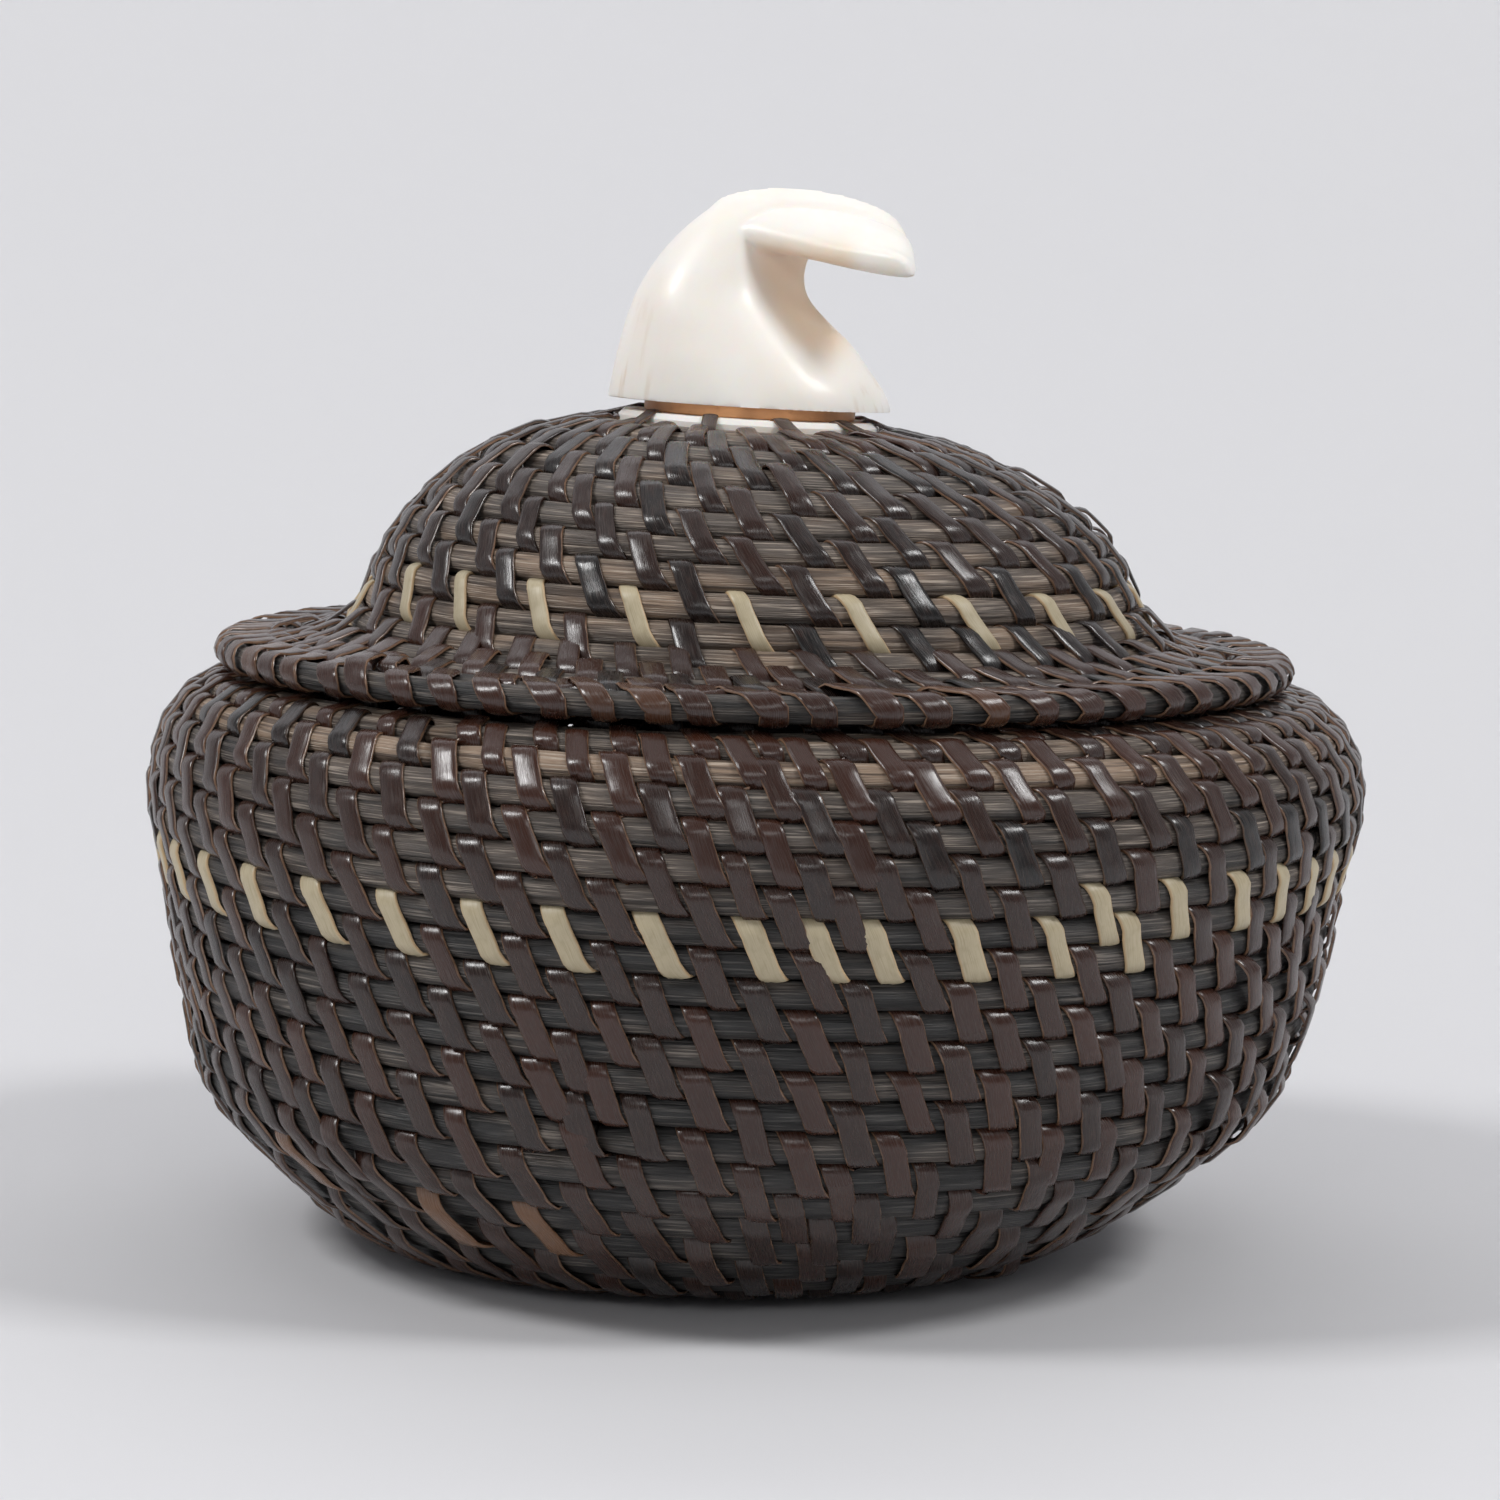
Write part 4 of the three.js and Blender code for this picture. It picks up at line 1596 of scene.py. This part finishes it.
class EdgeCoil(Coil):
    """The flange's last row and the heavier rod round it, as a pair to sew over."""

    last_row_inset = 1.3
    last_row_middle = 1.35
    last_row_half_width = 1.15
    slope = 0.1

    def __init__(self) -> None:
        """Sets the coil's sizes."""
        super().__init__(
            seed=5.3,
            corners=lid_corners(),
            side=-1,
            turning=1,
            start_angle=LID_START_ANGLE,
            start_pitch=3.4,
            end_pitch=2.4,
            blend_shares=(0.25, 0.55),
            wander=0.0,
        )

    def row(self, turns: np.ndarray) -> Row:
        """Reads the edge rod after one turn, and the flange's last row before it.

        Args:
            turns: After how many turns it is read.

        Returns:
            The rod there.
        """
        shape = np.shape(turns)
        ends = turns >= 1
        inner = FLANGE_RADIUS - EDGE_ROD_WIDTH - self.last_row_inset
        radius = np.where(ends, FLANGE_RADIUS - EDGE_ROD_WIDTH / 2, inner)
        rise = np.where(ends, EDGE_ROD_HEIGHT / 2, self.last_row_middle)
        level = 1 - self.slope**2 / 2
        along = np.broadcast_to(np.array([level, -self.slope]), (*shape, 2))
        outward = np.broadcast_to(np.array([self.slope, level]), (*shape, 2))
        half = np.where(ends, EDGE_ROD_WIDTH / 2, self.last_row_half_width)
        return Row(np.stack([radius, SEAT_HEIGHT + rise], axis=-1), along, outward, half)


class EdgeStripMaker(StripMaker):
    """Bends strips round the flange's last row and the edge rod."""

    def pair(self, turns: np.ndarray) -> tuple[Row, Row]:
        """The flange's last row, then the edge rod, all the way round."""
        return self.coil.row(np.zeros_like(turns)), self.coil.row(np.ones_like(turns))


@dataclass
class LidEdge:
    """The heavier rod round the flange, and the strips that hold it to the last row."""

    wardrobe: Wardrobe
    coil: EdgeCoil = field(default_factory=EdgeCoil)
    steps: int = 144
    facets: int = 16
    closure_share: float = 0.9995
    strip_room: float = 0.3
    unevenness: float = 0.03
    uneven_beats: tuple[float, ...] = (7.0, 13.0, 31.0)
    paleness: float = 0.22
    strips: int = 65
    strip_reach: float = 1.06
    last_turn: float = 1.5
    seed: int = 41
    amber_chance: float = 0.35
    amber_range: tuple[float, float] = (0.08, 0.30)
    amber_seed: int = 43

    def make_rod(self) -> None:
        """Makes the rod."""
        turns = np.linspace(0, 1, self.steps + 1)
        around = 2 * math.pi * np.arange(self.facets) / self.facets
        uneven = 1 + self.unevenness * waver(turns, self.uneven_beats, 4.0)
        beside = np.outer(uneven, np.cos(around)) * (EDGE_ROD_WIDTH / 2 - self.strip_room)
        above = np.outer(uneven, np.sin(around)) * (EDGE_ROD_HEIGHT / 2 - self.strip_room)
        radius = FLANGE_RADIUS - EDGE_ROD_WIDTH / 2 + beside
        height = SEAT_HEIGHT + EDGE_ROD_HEIGHT / 2 + above
        angle = np.radians(LID_START_ANGLE) + 2 * math.pi * turns[:, None] * self.closure_share
        rings = np.stack([radius * np.cos(angle), radius * np.sin(angle), height], axis=-1)
        lengths = turns * 2 * math.pi * FLANGE_RADIUS
        tones = np.full((len(turns), 3), self.paleness)
        skin = Skin()
        skin.add_tube(rings, lengths, np.arange(self.facets + 1) / self.facets, tones)
        rod = skin.make("lid_edge_rod_dressed", self.wardrobe.rod)
        dress(rod, Body.LID, Slot.GREY, "lid_edge_rod")

    def make_strips(self) -> None:
        """Sews the rod to the flange, with some strips a little paler."""
        first = [1.0 + index / self.strips for index in range(self.strips + 1)]
        look = Looks(turns=1.0, spacing=4.3, width=2.0, slant=4.2, brown=0.85, loose=0.16)
        stitches = Sewing(self.coil, [look], first, self.last_turn, self.seed).stitches()
        rng = np.random.default_rng(self.amber_seed)
        for stitch in stitches:
            if rng.random() < self.amber_chance:
                stitch.tone = (stitch.tone[0], stitch.tone[1], float(rng.uniform(*self.amber_range)))
        maker = EdgeStripMaker(self.coil, Body.LID, True, reach=self.strip_reach)
        maker.make("edge_strips", stitches, self.wardrobe.strip, Slot.BLACK)


@dataclass
class LidLip:
    """The coiled lip under the lid, which keeps it in the mouth."""

    wardrobe: Wardrobe
    coil: LipCoil = field(default_factory=LipCoil)
    end_turns: float = 0.72
    first_strip: float = 0.75
    strips: int = 46
    last_turn: float = 2.2
    strip_reach: float = 0.86
    seed: int = 31

    def make(self) -> None:
        """Makes the lip's rod and its strips."""
        dresser = RodDresser(self.coil, Body.LID, self.wardrobe.rod)
        end = self.coil.turns - self.end_turns
        dresser.make("lid_lip_rod_dressed", self.end_turns, end, Slot.BLACK, "lid_lip_rod")
        first = [self.first_strip + index / self.strips for index in range(self.strips + 1)]
        look = Looks(turns=0.0, spacing=5.6, width=1.9, slant=1.8, brown=0.4, loose=0.0)
        stitches = Sewing(self.coil, [look], first, self.last_turn, self.seed).stitches()
        maker = StripMaker(self.coil, Body.LID, True, reach=self.strip_reach)
        maker.make("lip_strips", stitches, self.wardrobe.strip, Slot.BLACK)


@dataclass
class Lid:
    """The lid's coil: its rods and its strips, from the disc out to the flange."""

    wardrobe: Wardrobe
    coil: LidCoil = field(default_factory=LidCoil)
    first_strip: float = 0.588
    row_strips: int = 11
    last_turns: float = 0.1
    seed: int = 23
    band: Band = Band(start=9.75 - 75 / 360, turns=0.98, width_share=0.80, loose_share=0.5)
    proud: ProudPatch = ProudPatch(
        first_turn=4, last_turn=11, from_bearing=325, to_bearing=30, growth=3, lift=0.12, limit=0.8
    )

    # Each rod's solid, how much of the coil is done where it ends, and its slot
    rods: tuple[tuple[str, float, Slot], ...] = (
        ("lid_crown_rod", 0.27, Slot.GREY),
        ("lid_dome_rod", 0.56, Slot.GREY),
        ("lid_band_rod", 0.72, Slot.GREY),
        ("lid_flange_rod", 1.0, Slot.BLACK),
    )
    # Each piece of dark strips, and the turns that it lies between
    stretches: tuple[tuple[str, float, float], ...] = (
        ("crown_strips", 0, 6),
        ("dome_strips", 6, 10.7),
        ("flange_strips", 10.7, 20),
    )

    def looks(self) -> list[Looks]:
        """How the strips change from the disc to the flange.

        Returns:
            The looks, in the order of the turns.
        """
        return [
            Looks(0.5, 5.6, 1.3, 1.3, 0.35, 0.05),
            Looks(1.8, 4.9, 1.55, 1.9, 0.35, 0.14),
            Looks(4.0, 5.7, 1.7, 2.6, 0.35, 0.16),
            Looks(6.0, 7.6, 1.75, 2.9, 0.45, 0.09),
            Looks(8.6, 8.6, 1.75, 2.9, 0.42, 0.04),
            Looks(10.4, 8.2, 1.75, 2.8, 0.5, 0.05),
            Looks(11.4, 6.9, 1.75, 2.4, 0.65, 0.10),
            Looks(12.0, 6.4, 1.8, 2.3, 0.75, 0.12),
            Looks(15.0, 6.2, 1.85, 2.3, 0.85, 0.14),
        ]

    def make_strips(self) -> None:
        """Sews the lid's coil, with most of a turn of pale strips."""
        first = [self.first_strip + index / self.row_strips for index in range(self.row_strips + 1)]
        sewing = Sewing(self.coil, self.looks(), first, self.coil.turns - self.last_turns, self.seed)
        stitches = sewing.stitches()
        pale, dark = self.band.split(stitches)
        self.proud.loosen(dark, self.coil)
        maker = StripMaker(self.coil, Body.LID, True)
        maker.make_stretches(self.stretches, dark, self.wardrobe.strip)
        maker.make("lid_band_strips", pale, self.wardrobe.pale, Slot.TAN)
        LOG.info("lid: %d stitches, %d of them pale", len(stitches), len(pale))

    def make(self) -> None:
        """Makes the lid, with its edge and its lip."""
        edge = LidEdge(self.wardrobe)
        RodDresser(self.coil, Body.LID, self.wardrobe.rod).make_run(self.rods)
        edge.make_rod()
        LidLip(self.wardrobe).make()
        self.make_strips()
        edge.make_strips()


@dataclass
class WhaleTail:
    """The carved ivory tail: a leaning stock that bends over into two drooping flukes."""

    wardrobe: Wardrobe
    half_length: float = 11.95
    half_depth: float = 9.4
    height: float = 18.0
    reach: float = 13.1
    half_span: float = 10.2
    thickness: float = 4.6
    trail_share: float = 0.72
    droop: float = 0.8
    lift: float = 0.95
    foot_cut: float = 0.3
    foot_reach: float = 6.0
    hollow_before: float = 0.6
    hollow_after: float = 4.2
    groove_place: float = 2.3
    groove_spread: float = 1.3
    groove_width: float = 0.4
    groove_depth: float = 0.34
    groove_bend: tuple[float, float] = (2.0, -2.5)
    groove_start: tuple[float, float] = (-3.0, 0.0)
    groove_heights: tuple[float, float] = (12.6, 14.2)
    # Where shade is painted into the hollow under the flukes: its start and end across the ridge, and its
    # right, top and foot limits
    shade_before: float = 0.3
    shade_after: float = 2.5
    shade_right: tuple[float, float] = (9.0, 6.5)
    shade_top: tuple[float, float] = (15.0, 12.0)
    shade_foot: tuple[float, float] = (3.0, 6.0)
    worn_height: tuple[float, float] = (5.0, 0.0)
    worn_sides: tuple[float, float] = (6.5, 10.5)
    worn_left: tuple[float, float] = (-6.0, -9.5)
    worn_left_height: tuple[float, float] = (12.0, 6.0)
    worn_left_share: float = 0.5
    grain: float = 0.26
    softenings: int = 9
    stock_facets: int = 64
    stock_rings: int = 40
    fluke_facets: int = 40
    fluke_rings: int = 26

    # Height, left edge, right edge, depth, and how far the section is fuller on the left
    stock_shares: tuple[tuple[float, ...], ...] = (
        (0.0, -1.0, 1.0, 1.0, 0.0), (0.1, -0.975, 0.933, 0.955, 0.02), (0.2, -0.949, 0.812, 0.885, 0.06),
        (0.3, -0.916, 0.682, 0.80, 0.12), (0.4, -0.878, 0.51, 0.715, 0.2), (0.5, -0.824, 0.37, 0.63, 0.26),
        (0.6, -0.745, 0.33, 0.55, 0.28), (0.7, -0.644, 0.36, 0.465, 0.24), (0.8, -0.51, 0.4, 0.39, 0.15),
        (0.88, -0.372, 0.42, 0.3, 0.05), (0.945, -0.23, 0.33, 0.18, 0.0),
    )
    # Span, leading edge, trailing edge, height and thickness of a fluke
    fluke_shares: tuple[tuple[float, ...], ...] = (
        (0.0, -0.32, 0.9, 0.885, 1.0), (0.25, -0.25, 0.95, 0.812, 0.91), (0.5, 0.08, 0.975, 0.762, 0.70),
        (0.7, 0.42, 0.985, 0.72, 0.53), (0.88, 0.73, 0.985, 0.702, 0.415), (0.96, 0.85, 0.975, 0.70, 0.30),
        (1.0, 0.905, 0.96, 0.698, 0.13),
    )
    # Heights over the foot, and how far right of the middle the hollow's near edge lies there
    ridge_heights: tuple[float, ...] = (2.5, 5.0, 8.0, 11.0, 14.0)
    ridge_places: tuple[float, ...] = (6.0, 2.8, 0.3, -1.2, -1.6)
    # Heights over the foot, and how much of the depth the hollow takes there
    hollow_heights: tuple[float, ...] = (2.5, 6.0, 9.0, 13.0, 15.5)
    hollow_shares: tuple[float, ...] = (0.0, 0.22, 0.38, 0.40, 0.1)

    def ridge(self, height: np.ndarray | float) -> np.ndarray | float:
        """Where the hollow in the right side starts at a height."""
        return np.interp(height, self.ridge_heights, self.ridge_places)

    def stock(self) -> np.ndarray:
        """Shapes the stock, with a hollow worked into its right side on both faces.

        Returns:
            Its rings, from the foot up.
        """
        table = np.array(self.stock_shares)
        levels = np.linspace(0, table[-1, 0], self.stock_rings)
        columns = [spline(levels, table[:, 0], table[:, column]) for column in range(1, 5)]
        around = 2 * math.pi * np.arange(self.stock_facets) / self.stock_facets
        rings = []
        for level, left, right, depth, fullness in zip(levels, *columns):
            middle = (left + right) / 2 * self.half_length
            half = (right - left) / 2 * self.half_length
            x = middle + half * np.cos(around)
            y = self.half_depth * depth * np.sin(around) * (1 - fullness * np.cos(around))
            z = level * self.height
            ridge = self.ridge(z)
            hollow = np.interp(z, self.hollow_heights, self.hollow_shares)
            y = y * (1 - hollow * smooth(ridge - self.hollow_before, ridge + self.hollow_after, x))
            rings.append(np.stack([x, y, np.full_like(x, z)], axis=1))
        return np.array(rings)

    def flukes(self) -> np.ndarray:
        """Shapes both flukes as one form.

        Returns:
            Its rings, from the near tip to the far one.
        """
        table = np.array(self.fluke_shares)
        spans = np.sin(np.linspace(0, math.pi / 2, self.fluke_rings))
        columns = [spline(spans, table[:, 0], table[:, column]) for column in range(1, 5)]
        around = 2 * math.pi * np.arange(self.fluke_facets) / self.fluke_facets
        back = (1 - np.cos(around)) / 2
        rings = []
        for span, lead, trail, height, thick in zip(spans, *columns):
            x = (lead + (trail - lead) * back) * self.reach
            middle = height * self.height - self.thickness / 2 * max(self.trail_share - thick, 0) * back
            drop = self.droop * back**2 * (1 - span)
            z = middle + np.sin(around) * self.thickness / 2 * thick - drop
            rings.append(np.stack([x, np.full_like(x, span * self.half_span), z], axis=1))
        far = np.array(rings)
        near = far[::-1][:-1] * np.array([1.0, -1.0, 1.0])
        return np.concatenate([near, far])

    def make(self) -> None:
        """Makes the tail: the two forms are melted together and smoothed."""
        skin = Skin()
        for rings in (self.stock(), self.flukes()):
            size = rings.shape[1]
            lengths = np.arange(len(rings), dtype=float)
            skin.add_tube(rings, lengths, np.arange(size + 1) / size, np.zeros((len(rings), 3)))
        rough = skin.make("whale_tail_rough", self.wardrobe.ivory)
        melt = rough.modifiers.new("melt", "REMESH")
        melt.mode = "VOXEL"
        melt.voxel_size = self.grain * MM
        soften = rough.modifiers.new("soften", "SMOOTH")
        soften.iterations = self.softenings
        soften.factor = 0.5
        graph = bpy.context.evaluated_depsgraph_get()
        mesh = bpy.data.meshes.new_from_object(rough.evaluated_get(graph))
        bpy.data.objects.remove(rough)
        self.carve(mesh)
        mesh.materials.clear()
        mesh.materials.append(self.wardrobe.ivory)
        mesh.polygons.foreach_set("use_smooth", np.ones(len(mesh.polygons), bool))
        tail = bpy.data.objects.new("whale_tail_carved", mesh)
        bpy.context.scene.collection.objects.link(tail)
        dress(tail, Body.LID, Slot.IVORY, "whale_tail_finial")

    def carve(self, mesh: bpy.types.Mesh) -> None:
        """Flattens the foot, cuts the fine grooves and sets the tail in its place.

        Args:
            mesh: The tail's mesh, which is changed.
        """
        points = np.empty(len(mesh.vertices) * 3)
        mesh.vertices.foreach_get("co", points)
        x, y, z = (points.reshape(-1, 3) / MM).T
        z = np.maximum(z, self.foot_cut) - self.foot_cut * smooth(self.foot_reach, self.foot_cut, z)
        groove = self.groove_place + self.groove_spread * smooth(*self.groove_bend, x)
        near_groove = np.exp(-(((np.abs(y) - groove) / self.groove_width) ** 2))
        near_groove = near_groove * smooth(*self.groove_start, x)
        z = z - self.groove_depth * near_groove * smooth(*self.groove_heights, z)
        self.tint(mesh, x, z)
        placed = on_crown(x, y, z + self.lift) * MM
        mesh.vertices.foreach_set("co", placed.astype(np.float32).ravel())
        mesh.update()

    def tint(self, mesh: bpy.types.Mesh, x: np.ndarray, z: np.ndarray) -> None:
        """Marks where shade is painted into the ivory's hollow under the flukes, and where it is worn,
        round the foot.

        Args:
            mesh: The tail's mesh.
            x: How far right each of its points lies.
            z: How high each of them lies.
        """
        # Painted shade: the hollow under the flukes, between the foot and the flukes
        under = smooth(*self.shade_top, z) * smooth(*self.shade_foot, z)
        ridge = self.ridge(z)
        hollow = smooth(ridge - self.shade_before, ridge + self.shade_after, x) * under
        hollow = hollow * smooth(*self.shade_right, x)
        foot = smooth(*self.worn_height, z) * smooth(*self.worn_sides, np.abs(x))
        left_edge = self.worn_left_share * smooth(*self.worn_left, x)
        left_edge = left_edge * smooth(*self.worn_left_height, z)
        worn = np.clip(foot + left_edge, 0, 1)
        tones = np.stack([hollow, worn, np.zeros_like(x), np.ones_like(x)], axis=1)
        attribute = mesh.color_attributes.new("tone", "FLOAT_COLOR", "POINT")
        attribute.data.foreach_set("color", tones.astype(np.float32).ravel())


@dataclass
class Spacer:
    """The thin tan disc between the starter disc and the tail."""

    wardrobe: Wardrobe
    radius: float = 8.8
    bore: float = 1.9
    low: float = 0.02
    high: float = 0.98
    bevel: float = 0.1
    bevel_reach: float = 0.12
    facets: int = 144
    unevenness: float = 0.006
    uneven_beats: tuple[float, ...] = (3.0, 7.0, 19.0)

    def make(self) -> None:
        """Makes the spacer, its edge a little uneven."""
        turns = np.arange(self.facets + 1) / self.facets
        uneven = 1 + self.unevenness * waver(turns, self.uneven_beats, 1.0)
        flat_radius = self.radius - self.bevel_reach
        profile = np.array([
            (self.bore, self.low), (flat_radius, self.low), (self.radius, self.low + self.bevel),
            (self.radius, self.high - self.bevel), (flat_radius, self.high), (self.bore, self.high),
        ])
        corners = len(profile)
        out = np.outer(uneven, profile[:, 0])
        angle = 2 * math.pi * turns[:, None]
        height = np.broadcast_to(profile[:, 1], out.shape)
        rings = on_crown(out * np.cos(angle), out * np.sin(angle), height)
        lengths = np.arange(len(turns), dtype=float)
        across = np.arange(corners + 1) / corners
        tones = np.zeros((len(turns), 3))
        skin = Skin()
        skin.add_tube(rings, lengths, across, tones, tuple(range(corners)), False)
        spacer = skin.make("spacer_dressed", self.wardrobe.leather)
        dress(spacer, Body.LID, Slot.LEATHER, "finial_spacer")


# The studio


@dataclass(frozen=True)
class SoftLight:
    """One rectangular light. Lengths are metres and the power is watts."""

    name: str
    place: Point
    width: float
    height: float
    power: float
    target: Point = (0.0, 0.0, 0.04)

    def make(self) -> None:
        """Sets the light, facing its target."""
        data = bpy.data.lights.new(self.name, "AREA")
        data.shape = "RECTANGLE"
        data.size, data.size_y = self.width, self.height
        data.energy = self.power
        light = bpy.data.objects.new(self.name, data)
        light.location = self.place
        light.rotation_mode = "QUATERNION"
        aim = Vector(self.target) - Vector(self.place)
        light.rotation_quaternion = aim.to_track_quat("-Z", "Y")
        bpy.context.scene.collection.objects.link(light)


@dataclass
class Studio:
    """The pale sweep, the soft lights and the camera. Lengths are metres."""

    wardrobe: Wardrobe
    eye: Point = (-0.00017, -0.380, 0.085)
    pitch: float = math.radians(6.56)
    roll: float = math.radians(1.35)
    focal_pixels: float = 4545.0
    frame_pixels: float = 1500.0
    sensor: float = 36.0
    clip_range: tuple[float, float] = (0.01, 20.0)
    floor_front: float = -3.0
    floor_middle: float = -0.6
    floor_end: float = 0.06
    bend_radius: float = 0.35
    bend_range: tuple[float, float] = (0.05, 1.35)
    bend_steps: int = 24
    wall_top: tuple[float, float] = (0.55, 2.4)
    sweep_half_width: float = 2.6
    even_colour: Colour = (0.965, 0.965, 1.0)
    even_front: float = 0.22
    even_back: float = 1.02
    even_range: tuple[float, float] = (-0.55, 0.15)
    even_top_share: float = -0.5
    lights: tuple[SoftLight, ...] = (
        SoftLight("overhead", (0.0, 0.25, 1.1), 1.0, 0.8, 0.72),
        SoftLight("left_key", (-0.45, -0.20, 0.56), 0.16, 0.16, 2.2),
        SoftLight("right_key", (0.45, -0.20, 0.56), 0.16, 0.16, 2.0),
        SoftLight("front_fill", (0.0, -0.60, 0.34), 0.34, 0.12, 0.45),
        SoftLight("backdrop_light", (0.0, 0.30, 0.75), 0.9, 0.15, 1.9, (0.0, 1.30, 0.40)),
    )

    def make_camera(self) -> None:
        """Sets the camera at the photograph's view."""
        data = bpy.data.cameras.new("camera")
        data.sensor_width = self.sensor
        data.lens = self.focal_pixels / self.frame_pixels * self.sensor
        data.clip_start, data.clip_end = self.clip_range
        camera = bpy.data.objects.new("camera", data)
        turn = Matrix.Rotation(math.pi / 2 - self.pitch, 4, "X") @ Matrix.Rotation(self.roll, 4, "Z")
        camera.matrix_world = Matrix.Translation(self.eye) @ turn
        bpy.context.scene.collection.objects.link(camera)
        bpy.context.scene.camera = camera

    def make_sweep(self) -> None:
        """Makes the floor, which curves up behind the basket."""
        profile = [(y, 0.0) for y in (self.floor_front, self.floor_middle, self.floor_end)]
        for turn in np.linspace(*self.bend_range, self.bend_steps):
            back = self.floor_end + self.bend_radius * math.sin(turn)
            profile.append((back, self.bend_radius * (1 - math.cos(turn))))
        profile.append(self.wall_top)
        verts = [(side * self.sweep_half_width, y, z) for y, z in profile for side in (-1, 1)]
        faces = [(2 * k, 2 * k + 1, 2 * k + 3, 2 * k + 2) for k in range(len(profile) - 1)]
        mesh = bpy.data.meshes.new("sweep")
        mesh.from_pydata(verts, [], faces)
        mesh.polygons.foreach_set("use_smooth", np.ones(len(faces), bool))
        mesh.materials.append(self.wardrobe.ground)
        sweep = bpy.data.objects.new("sweep", mesh)
        bpy.context.scene.collection.objects.link(sweep)

    def make_even_light(self) -> None:
        """Sets the light all round, weak from the front and above and strong from behind."""
        world = bpy.data.worlds.new("even_light")
        world.use_nodes = True
        nodes, links = world.node_tree.nodes, world.node_tree.links
        background = nodes["Background"]
        background.inputs["Color"].default_value = (*self.even_colour, 1.0)
        coords = nodes.new("ShaderNodeTexCoord")
        parts = nodes.new("ShaderNodeSeparateXYZ")
        fade = nodes.new("ShaderNodeMapRange")
        fade.inputs["From Min"].default_value, fade.inputs["From Max"].default_value = self.even_range
        fade.inputs["To Min"].default_value = self.even_front
        fade.inputs["To Max"].default_value = self.even_back
        tilt = nodes.new("ShaderNodeMath")
        tilt.operation = "MULTIPLY_ADD"
        tilt.inputs[1].default_value = self.even_top_share
        links.new(coords.outputs["Generated"], parts.inputs["Vector"])
        links.new(parts.outputs["Z"], tilt.inputs[0])
        links.new(parts.outputs["Y"], tilt.inputs[2])
        links.new(tilt.outputs["Value"], fade.inputs["Value"])
        links.new(fade.outputs["Result"], background.inputs["Strength"])
        bpy.context.scene.world = world

    def make(self) -> None:
        """Makes the studio."""
        self.make_camera()
        self.make_sweep()
        for light in self.lights:
            light.make()
        self.make_even_light()
        bpy.context.scene.view_settings.view_transform = "Standard"
        bpy.context.scene.view_settings.look = "None"


def finish_solids(frame: dict, wardrobe: Wardrobe) -> None:
    """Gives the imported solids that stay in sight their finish.

    Args:
        frame: The loaded frame.
        wardrobe: The materials.
    """
    for name in ("base_starter_disc", "lid_starter_disc", "finial_peg"):
        node = frame["nodes"][name]
        node.data.materials.clear()
        node.data.materials.append(wardrobe.ivory)
        LOG.info("%s keeps its solid", name)


def main() -> None:
    """Builds the basket in order."""
    logging.basicConfig(level=logging.INFO, format="%(message)s")
    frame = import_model()
    wardrobe = Wardrobe()
    Studio(wardrobe).make()
    Bowl(wardrobe).make()
    Lid(wardrobe).make()
    Spacer(wardrobe).make()
    WhaleTail(wardrobe).make()
    finish_solids(frame, wardrobe)


if __name__ == "__main__":
    main()
